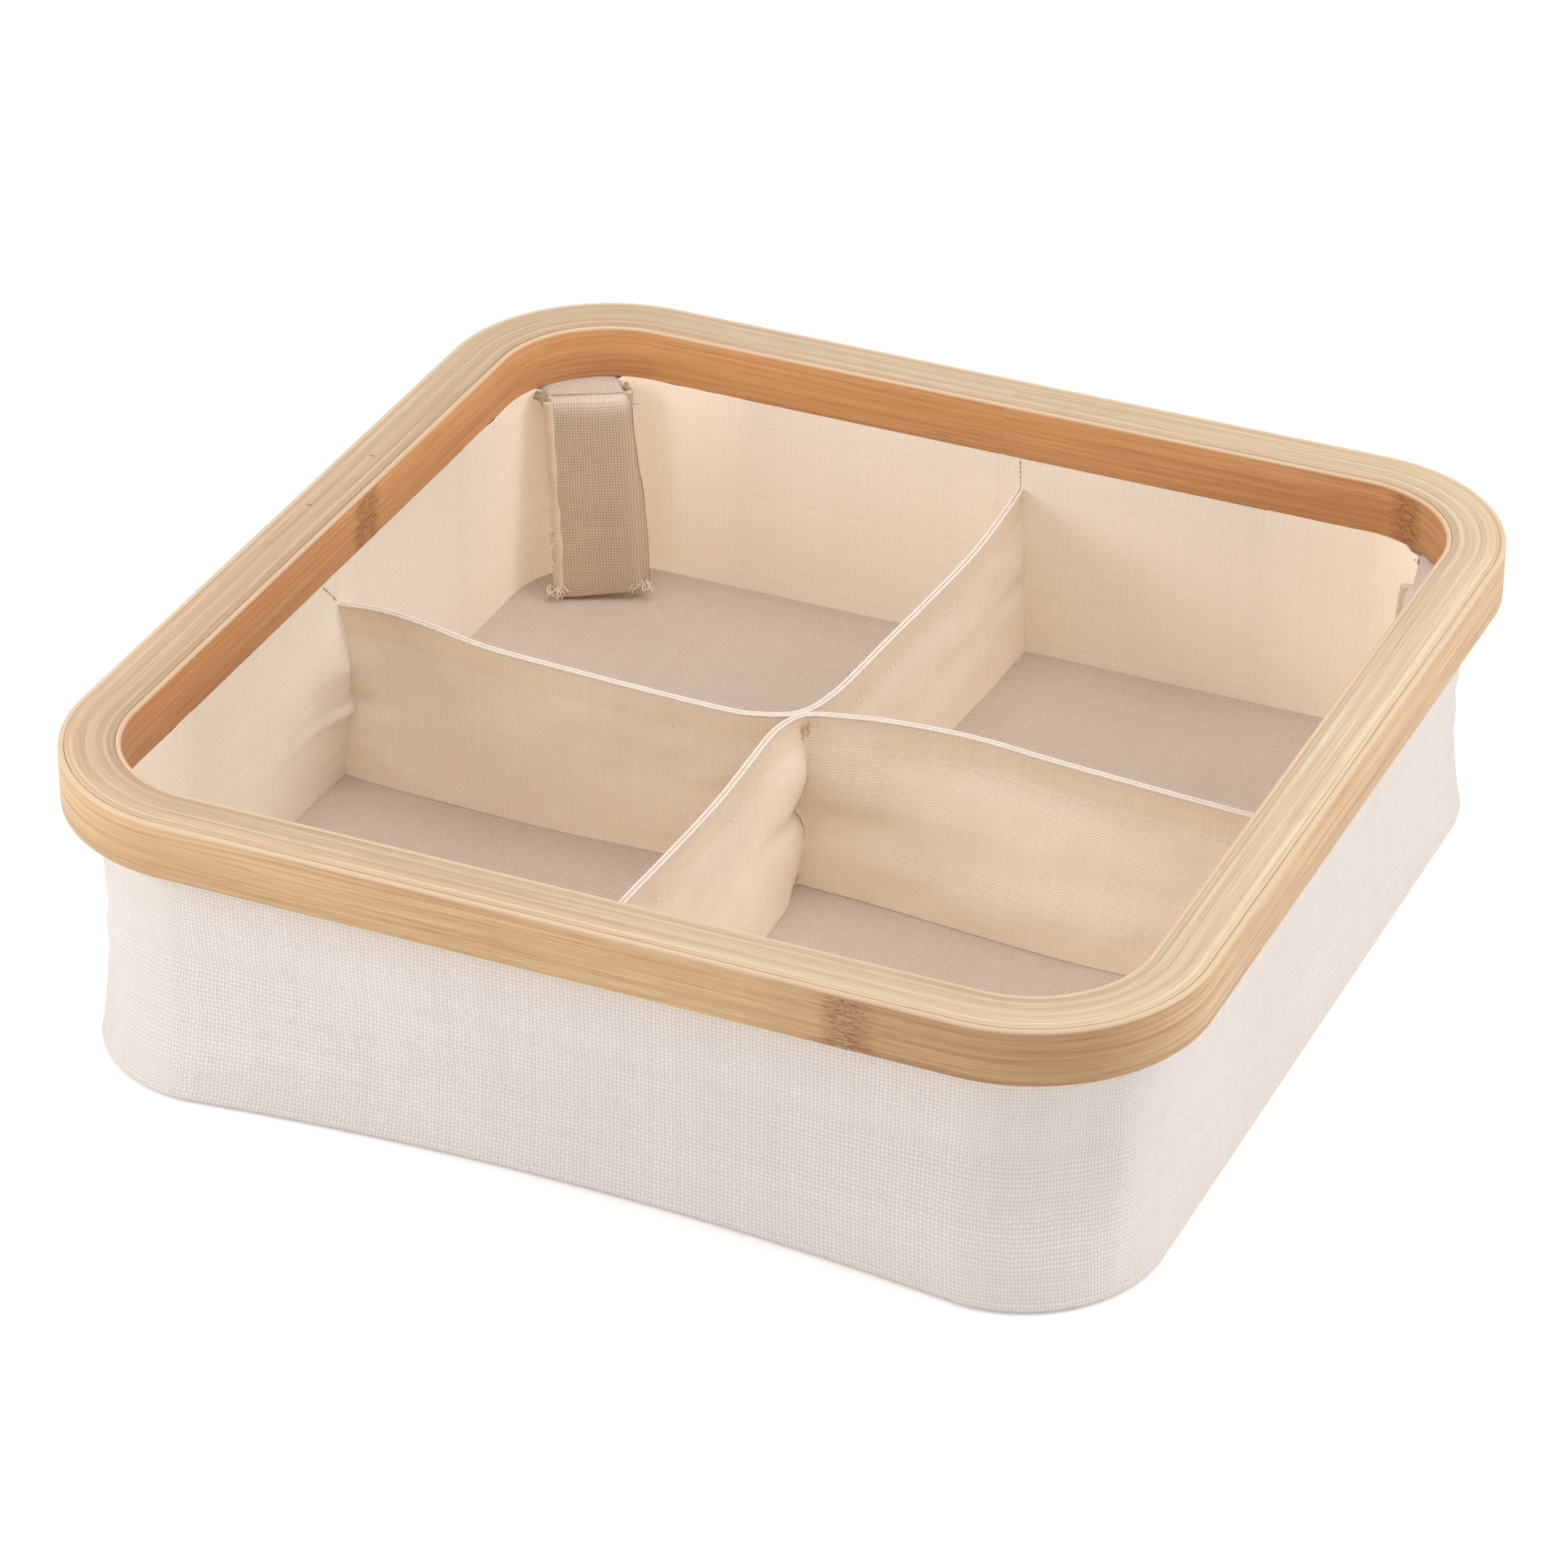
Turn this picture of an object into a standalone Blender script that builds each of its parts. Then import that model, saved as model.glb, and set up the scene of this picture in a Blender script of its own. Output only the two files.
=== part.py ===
"""Collapsible organizer: a square fabric box on a bent wooden rim, with four compartments.

The rim hangs on folding walls. Each wall has a lower and an upper half that fold inwards at
mid height, so that the rim comes straight down onto the base. Four stiff stays in the corners
hang from the rim, stand on the floor when the box is up, and swing inwards as it comes down.
Units are metres, Z is up, the front is towards -Y and the origin is the centre of the foot.
"""
import math

import bmesh
import bpy
from mathutils import Matrix, Vector

# Rim: a bent core between two plies, with a slot for the cloth
RIM_SIDE = 0.300
RIM_CORNER = 0.046
RIM_THICKNESS = 0.0156
RIM_HEIGHT = 0.015
OUTER_PLY = 0.0014
INNER_PLY = 0.0016
PLY_EDGE = 0.0005
SLOT_WIDTH = 0.0023
SLOT_DEPTH = 0.007

# The whole box
TOTAL_HEIGHT = 0.080
CLEARANCE = 0.0003

# Cloth of the outside and its shape from the slot down to the foot
CANVAS = 0.0006
CANVAS_FLARE = 0.0022
CANVAS_FOOT_RADIUS = 0.005
CANVAS_FLARE_START = 0.036
CANVAS_FLARE_END = 0.012

# Base, from below: cloth, board and the floor cloth
BASE_CLOTH = 0.0008
BASE_BOARD = 0.003
FLOOR_CLOTH = 0.0008

# Walls: a lining and a stiffener in each half
LINING = 0.0006
STIFFENER = 0.002
CORNER_RUN = 0.028

# Dividers: four sewn panels that meet in the middle
DIVIDER = 0.0014
DIVIDER_DROP = 0.009
DIVIDER_SWAY = 0.008

# Stays: a stiff core in a sewn sleeve, leaning on the floor
STAY_CORE_WIDTH = 0.028
STAY_CORE = 0.0024
STAY_CLOTH = 0.0007
STAY_BACK_CLEARANCE = 0.0005
STAY_TAB = 0.0012
STAY_FIN = 0.0035
STAY_FIN_THICKNESS = 0.0008
STAY_FIN_START = 0.009
STAY_LEAN_DEG = 6.0

# Mesh fineness
ARC_STEPS = 8
FOOT_STEPS = 4
DIVIDER_STEPS_ALONG = 14
DIVIDER_STEPS_UP = 4

# Heights, worked out from the sizes above
rim_low = TOTAL_HEIGHT - RIM_HEIGHT
board_low = BASE_CLOTH + CLEARANCE
board_high = board_low + BASE_BOARD
floor_low = board_high + CLEARANCE
floor_high = floor_low + FLOOR_CLOTH
wall_low = floor_high + CLEARANCE
wall_high = rim_low - CLEARANCE
wall_mid = (wall_low + wall_high) / 2
slot_top = rim_low + SLOT_DEPTH
divider_high = rim_low - DIVIDER_DROP

# Distances from the middle to each face, and the centre of every corner's arc
rim_half = RIM_SIDE / 2
arc_centre = rim_half - RIM_CORNER
ply_inner = rim_half - RIM_THICKNESS
slot_inner = ply_inner + INNER_PLY
slot_outer = slot_inner + SLOT_WIDTH
core_outer = rim_half - OUTER_PLY - CLEARANCE
canvas_half = slot_outer - CLEARANCE
stiffener_outer = canvas_half - CANVAS - CLEARANCE
lining_outer = stiffener_outer - STIFFENER - CLEARANCE
lining_inner = lining_outer - LINING
foot_half = canvas_half + CANVAS_FLARE - CANVAS_FOOT_RADIUS
flap_half = arc_centre - CORNER_RUN

# Stays: hinge place on the diagonal, and the sleeve's outside size
stay_width = STAY_CORE_WIDTH + 2 * (STAY_CLOTH + CLEARANCE)
stay_thickness = STAY_CORE + 2 * (STAY_CLOTH + CLEARANCE)
stay_lean = math.radians(STAY_LEAN_DEG)
corner_diagonal = arc_centre * math.sqrt(2)
lining_radius = lining_inner - arc_centre
stay_edge_reach = math.sqrt(lining_radius ** 2 - (stay_width / 2) ** 2)
stay_hinge_out = corner_diagonal + stay_edge_reach - STAY_BACK_CLEARANCE
tab_high = wall_high
tab_low = tab_high - STAY_TAB
stay_hinge_up = (tab_high + tab_low) / 2
stay_length = (stay_hinge_up - floor_high - CLEARANCE) / math.cos(stay_lean)

SIDE_TURNS = {"front": 0.0, "right": 90.0, "back": 180.0, "left": 270.0}
STAY_TURNS = {"front_right": 45.0, "back_right": 135.0, "back_left": 225.0, "front_left": 315.0}

# Sideways wander of each divider from the middle to its wall, at its top and at its foot
TOP_SWAY_SHARES = {
    "front": (0.0, 0.30, 0.22, 0.32, 0.45, 0.30),
    "right": (0.0, 0.75, 0.80, 0.42, 0.20, 0.0),
    "back": (0.0, 0.55, 0.72, 0.92, 0.95, 0.72),
    "left": (0.0, 0.80, 0.65, 0.46, -0.10, -0.18),
}
FOOT_SWAY_SHARES = {
    "front": (0.0, -0.25, -0.30, -0.18, -0.06, 0.0),
    "right": (0.0, -0.32, -0.62, -0.85, -0.70, -0.38),
    "back": (0.0, 0.25, 0.52, 0.70, 0.88, 0.95),
    "left": (0.0, 0.15, 0.30, 0.38, 0.30, 0.08),
}
SWAY_SIGNS = {"front": -1, "right": 1, "back": -1, "left": 1}

WOOD = (0.80, 0.62, 0.40, 1.0)
DARK_WOOD = (0.58, 0.33, 0.15, 1.0)
OFF_WHITE = (0.84, 0.79, 0.73, 1.0)
CREAM = (0.80, 0.71, 0.62, 1.0)
GREIGE = (0.58, 0.47, 0.38, 1.0)
GREY_BOARD = (0.50, 0.47, 0.43, 1.0)


def clear_scene():
    for thing in list(bpy.data.objects):
        bpy.data.objects.remove(thing, do_unlink=True)


def make_material(name, colour, roughness):
    material = bpy.data.materials.new(name)
    material.use_nodes = True
    shader = material.node_tree.nodes["Principled BSDF"]
    shader.inputs["Base Color"].default_value = colour
    shader.inputs["Roughness"].default_value = roughness
    shader.inputs["Metallic"].default_value = 0.0
    return material


def finish_object(name, mesh_maker, colour, roughness, smooth_deg=40.0):
    """Turn a bmesh into a named object with its own material."""
    bmesh.ops.recalc_face_normals(mesh_maker, faces=mesh_maker.faces)
    mesh = bpy.data.meshes.new(name)
    mesh_maker.to_mesh(mesh)
    mesh_maker.free()
    mesh.shade_smooth()
    mesh.set_sharp_from_angle(angle=math.radians(smooth_deg))
    thing = bpy.data.objects.new(name, mesh)
    thing.data.materials.append(make_material(name, colour, roughness))
    bpy.context.collection.objects.link(thing)
    return thing


def make_empty(name, place, turn, lean=0.0):
    """A joint's empty, turned so that its -Y points out of the box."""
    empty = bpy.data.objects.new(name, None)
    empty.rotation_euler = (lean, 0.0, turn)
    empty.location = Matrix.Rotation(turn, 3, "Z") @ Vector(place)
    bpy.context.collection.objects.link(empty)
    return empty


def rounded_square(half, height):
    """The points of a square with rounded corners, all arcs about the same four centres."""
    radius = half - arc_centre
    points = []
    for quarter in range(4):
        start = math.radians(90.0 * quarter)
        corner = math.radians(90.0 * quarter + 45.0)
        middle = Vector((math.cos(corner), math.sin(corner))) * corner_diagonal
        for step in range(ARC_STEPS + 1):
            angle = start + math.radians(90.0) * step / ARC_STEPS
            points.append((middle.x + radius * math.cos(angle),
                           middle.y + radius * math.sin(angle), height))
    return points


def hoop(name, profile, colour, roughness):
    """A hoop round the box, from a closed profile of (distance from the middle, height)."""
    maker = bmesh.new()
    loops = [[maker.verts.new(point) for point in rounded_square(half, height)]
             for half, height in profile]
    for first, second in zip(loops, loops[1:] + loops[:1]):
        for step in range(len(first)):
            maker.faces.new((first[step - 1], first[step], second[step], second[step - 1]))
    return finish_object(name, maker, colour, roughness)


def extruded_outline(name, points, height, colour, roughness):
    """A plate of the given outline, extruded up by its height."""
    maker = bmesh.new()
    face = maker.faces.new([maker.verts.new(point) for point in points])
    grown = bmesh.ops.extrude_face_region(maker, geom=[face])
    raised = [item for item in grown["geom"] if isinstance(item, bmesh.types.BMVert)]
    bmesh.ops.translate(maker, vec=(0.0, 0.0, height), verts=raised)
    return finish_object(name, maker, colour, roughness)


def block(name, low, high, colour, roughness):
    """A straight block between two corners."""
    maker = bmesh.new()
    size = Vector(high) - Vector(low)
    middle = (Vector(high) + Vector(low)) / 2
    bmesh.ops.create_cube(maker, size=1.0, matrix=Matrix.LocRotScale(middle, None, size))
    return finish_object(name, maker, colour, roughness)


def build_rim():
    """The plies, the slotted core, the strip that fills the slot and the lining's hem in it."""
    edge = PLY_EDGE
    hoop("outer_ply", [
        (rim_half, rim_low + edge), (rim_half, TOTAL_HEIGHT - edge),
        (rim_half - edge, TOTAL_HEIGHT), (rim_half - OUTER_PLY, TOTAL_HEIGHT),
        (rim_half - OUTER_PLY, rim_low), (rim_half - edge, rim_low),
    ], WOOD, 0.5)
    hoop("core_hoop", [
        (core_outer, rim_low), (core_outer, TOTAL_HEIGHT),
        (slot_outer, TOTAL_HEIGHT), (slot_outer, rim_low),
    ], WOOD, 0.55)
    hoop("inner_ply", [
        (slot_inner, rim_low), (slot_inner, TOTAL_HEIGHT),
        (ply_inner + edge, TOTAL_HEIGHT), (ply_inner, TOTAL_HEIGHT - edge),
        (ply_inner, rim_low + edge), (ply_inner + edge, rim_low),
    ], DARK_WOOD, 0.45)
    hoop("filler_strip", [
        (canvas_half, slot_top), (canvas_half, TOTAL_HEIGHT),
        (slot_inner + CLEARANCE, TOTAL_HEIGHT), (slot_inner + CLEARANCE, slot_top),
    ], WOOD, 0.55)
    hem_inner = slot_inner + CLEARANCE
    hoop("lining_hem", [
        (hem_inner + LINING, rim_low), (hem_inner + LINING, slot_top - CLEARANCE),
        (hem_inner, slot_top - CLEARANCE), (hem_inner, rim_low),
    ], CREAM, 0.9)


def canvas_side(inset):
    """One side of the canvas from the slot down to the foot, set in by its thickness."""
    wide = canvas_half + CANVAS_FLARE - inset
    flare_mid = (CANVAS_FLARE_START + CANVAS_FLARE_END) / 2
    foot_up = CLEARANCE + CANVAS_FOOT_RADIUS
    points = [
        (canvas_half - inset, slot_top - CLEARANCE),
        (canvas_half - inset, CANVAS_FLARE_START),
        (canvas_half + CANVAS_FLARE / 2 - inset, flare_mid),
        (wide, CANVAS_FLARE_END),
    ]
    radius = CANVAS_FOOT_RADIUS - inset
    for step in range(FOOT_STEPS + 1):
        angle = math.radians(90.0) * step / FOOT_STEPS
        points.append((foot_half + radius * math.cos(angle), foot_up - radius * math.sin(angle)))
    return points


def build_base():
    for name, half, low, thickness, colour, roughness in (
            ("base_cloth", foot_half - CLEARANCE, 0.0, BASE_CLOTH, GREIGE, 0.95),
            ("base_board", foot_half, board_low, BASE_BOARD, GREY_BOARD, 0.9),
            ("floor_cloth", foot_half, floor_low, FLOOR_CLOTH, GREIGE, 0.95)):
        extruded_outline(name, rounded_square(half, low), thickness, colour, roughness)
    hoop("canvas_sleeve", canvas_side(0.0) + canvas_side(CANVAS)[::-1], OFF_WHITE, 0.9)


def build_walls():
    """Four walls of two halves. A half's empty stands on its hinge line."""
    lower_lining_face = -LINING - CLEARANCE
    upper_lining_face = STIFFENER + CLEARANCE
    half_height = wall_mid - wall_low
    crease = CLEARANCE / 2
    for side, degrees in SIDE_TURNS.items():
        turn = math.radians(degrees)
        lower = make_empty(side + "_lower_hinge", (0.0, -lining_inner, wall_low), turn)
        upper = make_empty(side + "_upper_hinge", (0.0, -stiffener_outer, wall_mid), turn)
        pieces = [
            (block(side + "_lower_lining", (-flap_half, -LINING, 0.0),
                   (flap_half, 0.0, half_height - crease), CREAM, 0.9), lower),
            (block(side + "_lower_stiffener", (-flap_half, lower_lining_face - STIFFENER, 0.0),
                   (flap_half, lower_lining_face, half_height - crease), GREY_BOARD, 0.9), lower),
            (block(side + "_upper_lining", (-flap_half, upper_lining_face, crease),
                   (flap_half, upper_lining_face + LINING, half_height), CREAM, 0.9), upper),
            (block(side + "_upper_stiffener", (-flap_half, 0.0, crease),
                   (flap_half, STIFFENER, half_height), GREY_BOARD, 0.9), upper),
        ]
        for piece, hinge in pieces:
            piece.parent = hinge


def corner_path(half):
    """Plan points of one corner, between the ends of two walls, for the corner at +X and -Y."""
    radius = half - arc_centre
    start = flap_half + CLEARANCE
    points = [(start, -half)]
    for step in range(ARC_STEPS + 1):
        angle = math.radians(90.0) * step / ARC_STEPS
        points.append((arc_centre + radius * math.sin(angle), -arc_centre - radius * math.cos(angle)))
    points.append((half, -start))
    return points


def build_corners():
    """The lining round each corner, below the stay's tab."""
    outline = corner_path(lining_inner) + corner_path(lining_outer)[::-1]
    points = [(x, y, wall_low) for x, y in outline]
    height = tab_low - CLEARANCE - wall_low
    for corner, degrees in STAY_TURNS.items():
        piece = extruded_outline("lining_corner_" + corner, points, height, CREAM, 0.9)
        piece.rotation_euler = (0.0, 0.0, math.radians(degrees - STAY_TURNS["front_right"]))


def sway_at(shares, along):
    """A smooth curve through evenly spaced shares, level at both ends."""
    spans = len(shares) - 1
    place = along * spans
    span = min(int(place), spans - 1)
    part = place - span
    here, there = shares[span], shares[span + 1]
    before = shares[span - 1] if span > 0 else there
    after = shares[span + 2] if span < spans - 1 else here
    slope_here = (there - before) / 2
    slope_there = (after - here) / 2
    square, cube = part ** 2, part ** 3
    return ((2 * cube - 3 * square + 1) * here + (cube - 2 * square + part) * slope_here
            + (3 * square - 2 * cube) * there + (cube - square) * slope_there)


def build_dividers():
    """Four cloth panels from the middle to the walls, each wandering a little sideways."""
    for side, degrees in SIDE_TURNS.items():
        inner_end = CLEARANCE / 2
        if side in ("left", "right"):
            inner_end = DIVIDER / 2 + CLEARANCE
        run = lining_inner - CLEARANCE - inner_end
        maker = bmesh.new()
        bmesh.ops.create_grid(maker, x_segments=DIVIDER_STEPS_ALONG,
                              y_segments=DIVIDER_STEPS_UP, size=0.5)
        for corner in maker.verts:
            along, up = corner.co.x + 0.5, corner.co.y + 0.5
            lift = up * up * (3 - 2 * up)
            share = ((1 - lift) * sway_at(FOOT_SWAY_SHARES[side], along)
                     + lift * sway_at(TOP_SWAY_SHARES[side], along))
            corner.co = (SWAY_SIGNS[side] * DIVIDER_SWAY * share, -inner_end - run * along,
                         wall_low + (divider_high - wall_low) * up)
        panel = finish_object("divider_" + side, maker, CREAM, 0.9)
        panel.rotation_euler = (0.0, 0.0, math.radians(degrees))
        wall = panel.modifiers.new("Cloth thickness", "SOLIDIFY")
        wall.thickness = DIVIDER
        wall.offset = 0.0
        wall.use_even_offset = True


def build_stay(corner, degrees):
    """A stiff core in a cloth sleeve that is open below, and the tab that holds it to the rim."""
    turn = math.radians(degrees)
    hinge = make_empty(corner + "_stay_hinge", (0.0, -stay_hinge_out, stay_hinge_up), turn, stay_lean)
    wall = STAY_CLOTH + CLEARANCE
    half = stay_width / 2
    core = block("stay_core_" + corner, (wall - half, wall, -stay_length),
                 (half - wall, stay_thickness - wall, -wall), GREY_BOARD, 0.9)
    core.parent = hinge
    sleeve = block("stay_sleeve_" + corner, (-half, 0.0, -stay_length),
                   (half, stay_thickness, 0.0), GREIGE, 0.95)
    sleeve.parent = hinge
    pocket = block("pocket_" + corner, (STAY_CLOTH - half, STAY_CLOTH, -stay_length - wall),
                   (half - STAY_CLOTH, stay_thickness - STAY_CLOTH, -STAY_CLOTH), GREIGE, 0.95)
    fin = block("fin_" + corner, (half - STAY_CLOTH / 2, stay_thickness - STAY_FIN_THICKNESS,
                                  -stay_length),
                (half + STAY_FIN, stay_thickness, -STAY_FIN_START), GREIGE, 0.95)
    for guide, operation in ((pocket, "DIFFERENCE"), (fin, "UNION")):
        guide.parent = hinge
        guide.hide_render = True
        guide.display_type = "WIRE"
        cut = sleeve.modifiers.new(guide.name, "BOOLEAN")
        cut.operation = operation
        cut.object = guide
    build_tab(corner, turn)


def build_tab(corner, turn):
    """The tab lies under the rim's inner ply. Its outer edge follows the corner's arc."""
    reach = canvas_half - 2 * CANVAS - arc_centre
    half = STAY_CORE_WIDTH / 2
    spread = math.asin(half / reach)
    points = [(half, -stay_hinge_out - CLEARANCE, tab_low)]
    points.append((-half, -stay_hinge_out - CLEARANCE, tab_low))
    for step in range(ARC_STEPS + 1):
        angle = spread * (2 * step / ARC_STEPS - 1)
        points.append((reach * math.sin(angle), -corner_diagonal - reach * math.cos(angle), tab_low))
    tab = extruded_outline("stay_tab_" + corner, points, STAY_TAB, GREIGE, 0.95)
    tab.rotation_euler = (0.0, 0.0, turn)


def main():
    clear_scene()
    build_rim()
    build_base()
    build_walls()
    build_corners()
    build_dividers()
    for corner, degrees in STAY_TURNS.items():
        build_stay(corner, degrees)


main()
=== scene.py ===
import math
import random

import bmesh
import bpy
from mathutils import Matrix, Vector, noise


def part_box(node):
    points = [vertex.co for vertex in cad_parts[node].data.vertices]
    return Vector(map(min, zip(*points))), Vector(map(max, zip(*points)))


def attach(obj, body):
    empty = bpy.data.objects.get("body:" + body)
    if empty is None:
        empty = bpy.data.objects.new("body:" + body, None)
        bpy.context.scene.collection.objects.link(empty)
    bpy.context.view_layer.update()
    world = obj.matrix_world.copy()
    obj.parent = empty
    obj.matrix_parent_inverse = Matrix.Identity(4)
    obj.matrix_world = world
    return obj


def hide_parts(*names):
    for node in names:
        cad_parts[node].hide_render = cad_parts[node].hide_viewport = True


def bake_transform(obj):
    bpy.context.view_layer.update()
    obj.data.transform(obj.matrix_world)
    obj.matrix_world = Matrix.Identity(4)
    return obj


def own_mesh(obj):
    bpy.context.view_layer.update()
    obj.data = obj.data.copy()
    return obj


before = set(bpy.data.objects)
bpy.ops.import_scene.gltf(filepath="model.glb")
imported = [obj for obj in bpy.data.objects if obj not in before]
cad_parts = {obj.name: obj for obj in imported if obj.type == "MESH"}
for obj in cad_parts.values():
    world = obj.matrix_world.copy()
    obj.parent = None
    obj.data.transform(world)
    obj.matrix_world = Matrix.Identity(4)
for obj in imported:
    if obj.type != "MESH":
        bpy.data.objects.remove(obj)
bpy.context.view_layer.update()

bl_info = {
    "name": "Collapsible organizer",
    "version": (1, 0, 0),
    "blender": (4, 5, 0),
    "location": "3D View > Sidebar > Organizer",
    "description": "Builds a fabric organizer with a bent bamboo rim, folding walls and dividers",
    "category": "Object",
}

# Sizes read from the model that this look is made for
PLY_LOW, PLY_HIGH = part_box("outer_ply")
LINING_LOW, LINING_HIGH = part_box("front_lower_lining")
UPPER_LOW, UPPER_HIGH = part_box("front_upper_lining")
TAB_LOW, TAB_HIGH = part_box("stay_tab_front_right")
CORE_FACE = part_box("core_hoop")[1].x
INNER_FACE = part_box("inner_ply")[1].x
SLOT_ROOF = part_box("filler_strip")[0].z
CANVAS_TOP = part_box("canvas_sleeve")[1].z
FLOOR_HALF, _, FLOOR_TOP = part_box("floor_cloth")[1]
DIVIDER_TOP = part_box("divider_front")[1].z

RIM_HALF, RIM_LOW, RIM_TOP = PLY_HIGH.x, PLY_LOW.z, PLY_HIGH.z
RIM_INNER, SLOT_OUTER = 0.1344, 0.1383
# Radius of the core's edges and of the plies' lower edges
CORE_EDGE, LOW_EDGE = 0.00006, 0.0002
ARC_CENTRE = 0.104
CORNER_RADIUS = RIM_HALF - ARC_CENTRE
SIDE_RUN = 2 * ARC_CENTRE + CORNER_RADIUS * math.pi / 2
ROUND_RUN = 4 * SIDE_RUN
CLEARANCE = 0.0003
WALL_INNER, WALL_END, WALL_BACK = -LINING_HIGH.y, LINING_HIGH.x, 0.1360
WALL_LOW, WALL_HIGH, WALL_TOP = LINING_LOW.z, UPPER_HIGH.z, RIM_LOW - 0.00006
WALL_FOOT = WALL_LOW - 0.00025
WALL_MIDDLE = (LINING_HIGH.z + UPPER_LOW.z) / 2
WALL_START = WALL_END + CLEARANCE / 2
# Thickness of each cloth
CANVAS_THICK, FLOOR_THICK, LINING_THICK = 0.0006, 0.0004, 0.0005
DIVIDER_THICK, TAB_THICK = 0.0013, 0.0006
# How far each side and each corner's stay is turned round the box, in degrees
SIDE_TURNS = {"front": 0.0, "right": 90.0, "back": 180.0, "left": 270.0}
STAY_TURNS = {"front_right": 45.0, "back_right": 135.0, "back_left": 225.0, "front_left": 315.0}
UP = Vector((0.0, 0.0, 1.0))
WHITE = (1.0, 1.0, 1.0, 1.0)


def tone(red, green, blue):
    """A colour given as it shows, from 0 to 255, in the linear values that shaders take."""
    shares = (value / 255 for value in (red, green, blue))
    return tuple(share / 12.92 if share < 0.04045 else ((share + 0.055) / 1.055) ** 2.4
                 for share in shares)


def millimetres(*rows):
    """Rows of sizes that are written in millimetres, in metres."""
    return tuple(tuple(value / 1000 for value in row) for row in rows)


def colour_setting(name, description, *colour):
    return bpy.props.FloatVectorProperty(
        name=name, description=description, default=tone(*colour), size=3,
        min=0.0, max=1.0, subtype="COLOR")


def number_setting(name, description, default, low=0.0, **more):
    return bpy.props.FloatProperty(
        name=name, description=description, default=default, min=low, **more)


def length_setting(name, description, default):
    return number_setting(name, description, default, precision=5, unit="LENGTH",
                          subtype="DISTANCE")


def angle_setting(name, description, degrees):
    return number_setting(name, description, math.radians(degrees), -math.pi, unit="ROTATION",
                          subtype="ANGLE")


class BambooSettings(bpy.types.PropertyGroup):
    """The rim's wood."""

    ply_round: length_setting("Edge rounding", "Radius of the rim's outer edges", 0.0006)
    inner_round: length_setting("Inner edge rounding", "Radius of the rim's inner edges", 0.0007)
    sheet: length_setting("Core sheet", "Thickness of one sheet of the bent core", 0.00135)
    light: colour_setting("Light wood", "Pale wood between the grain of the core", 220, 196, 166)
    dark: colour_setting("Dark grain", "Grain of the core", 199, 165, 128)
    side_light: colour_setting("Side wood", "Wood of the outer ply", 226, 191, 146)
    side_dark: colour_setting("Side grain", "Grain of the outer ply", 191, 145, 98)
    inner_light: colour_setting("Inner wood", "Wood of the inner ply", 231, 177, 122)
    inner_dark: colour_setting("Inner grain", "Grain of the inner ply", 202, 140, 88)
    node: colour_setting("Node marks", "Short dark streaks at a node of the cane", 128, 74, 40)


class ClothSettings(bpy.types.PropertyGroup):
    """The cloths."""

    canvas_pitch: length_setting("Canvas yarn", "Distance between the canvas yarns", 0.00105)
    lining_pitch: length_setting("Lining yarn", "Distance between the lining yarns", 0.0007)
    floor_pitch: length_setting("Floor yarn", "Distance between the floor yarns", 0.0008)
    stay_pitch: length_setting("Stay yarn", "Distance between the yarns on the stays", 0.0008)
    canvas: colour_setting("Canvas", "Outside cloth", 243, 236, 231)
    canvas_gap: colour_setting("Canvas gaps", "Between the outside yarns", 223, 207, 195)
    lining: colour_setting("Lining", "Cloth of the walls", 250, 241, 227)
    lining_gap: colour_setting("Lining gaps", "Between the lining yarns", 238, 219, 195)
    divider: colour_setting("Divider", "Cloth of the dividers", 250, 238, 223)
    divider_gap: colour_setting("Divider gaps", "Between the divider yarns", 231, 206, 176)
    floor: colour_setting("Floor", "Cloth on the base board", 231, 214, 200)
    floor_gap: colour_setting("Floor gaps", "Between the floor yarns", 181, 156, 133)
    stay: colour_setting("Stay", "Cloth of the corner stays", 222, 200, 177)
    stay_gap: colour_setting("Stay gaps", "Between the stay yarns", 184, 156, 130)
    piping: colour_setting("Piping", "Folded top edges of the dividers", 219, 208, 201)
    board: colour_setting("Board", "Grey board in the base", 150, 144, 136)


# Materials


class Wire:
    """One output of a node, which sums can take further."""

    def __init__(self, tree, socket):
        self.tree, self.socket = tree, socket

    def to(self, entry):
        self.tree.links.new(self.socket, entry)

    def __add__(self, other):
        return add_math(self.tree, "ADD", self, other)

    def __sub__(self, other):
        return add_math(self.tree, "SUBTRACT", self, other)

    def __rsub__(self, other):
        return add_math(self.tree, "SUBTRACT", other, self)

    def __mul__(self, other):
        return add_math(self.tree, "MULTIPLY", self, other)

    def __truediv__(self, other):
        return add_math(self.tree, "DIVIDE", self, other)


def add_node(tree, kind, values, output=0, **choices):
    """A node with its values or wires by socket, and one of its outputs."""
    node = tree.nodes.new(kind)
    for name, value in choices.items():
        setattr(node, name, value)
    for socket, value in values.items():
        if isinstance(value, Wire):
            value.to(node.inputs[socket])
        else:
            node.inputs[socket].default_value = value
    return Wire(tree, node.outputs[output])


def add_math(tree, operation, first, second=0.0, third=0.0):
    return add_node(tree, "ShaderNodeMath", {0: first, 1: second, 2: third}, operation=operation)


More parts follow.
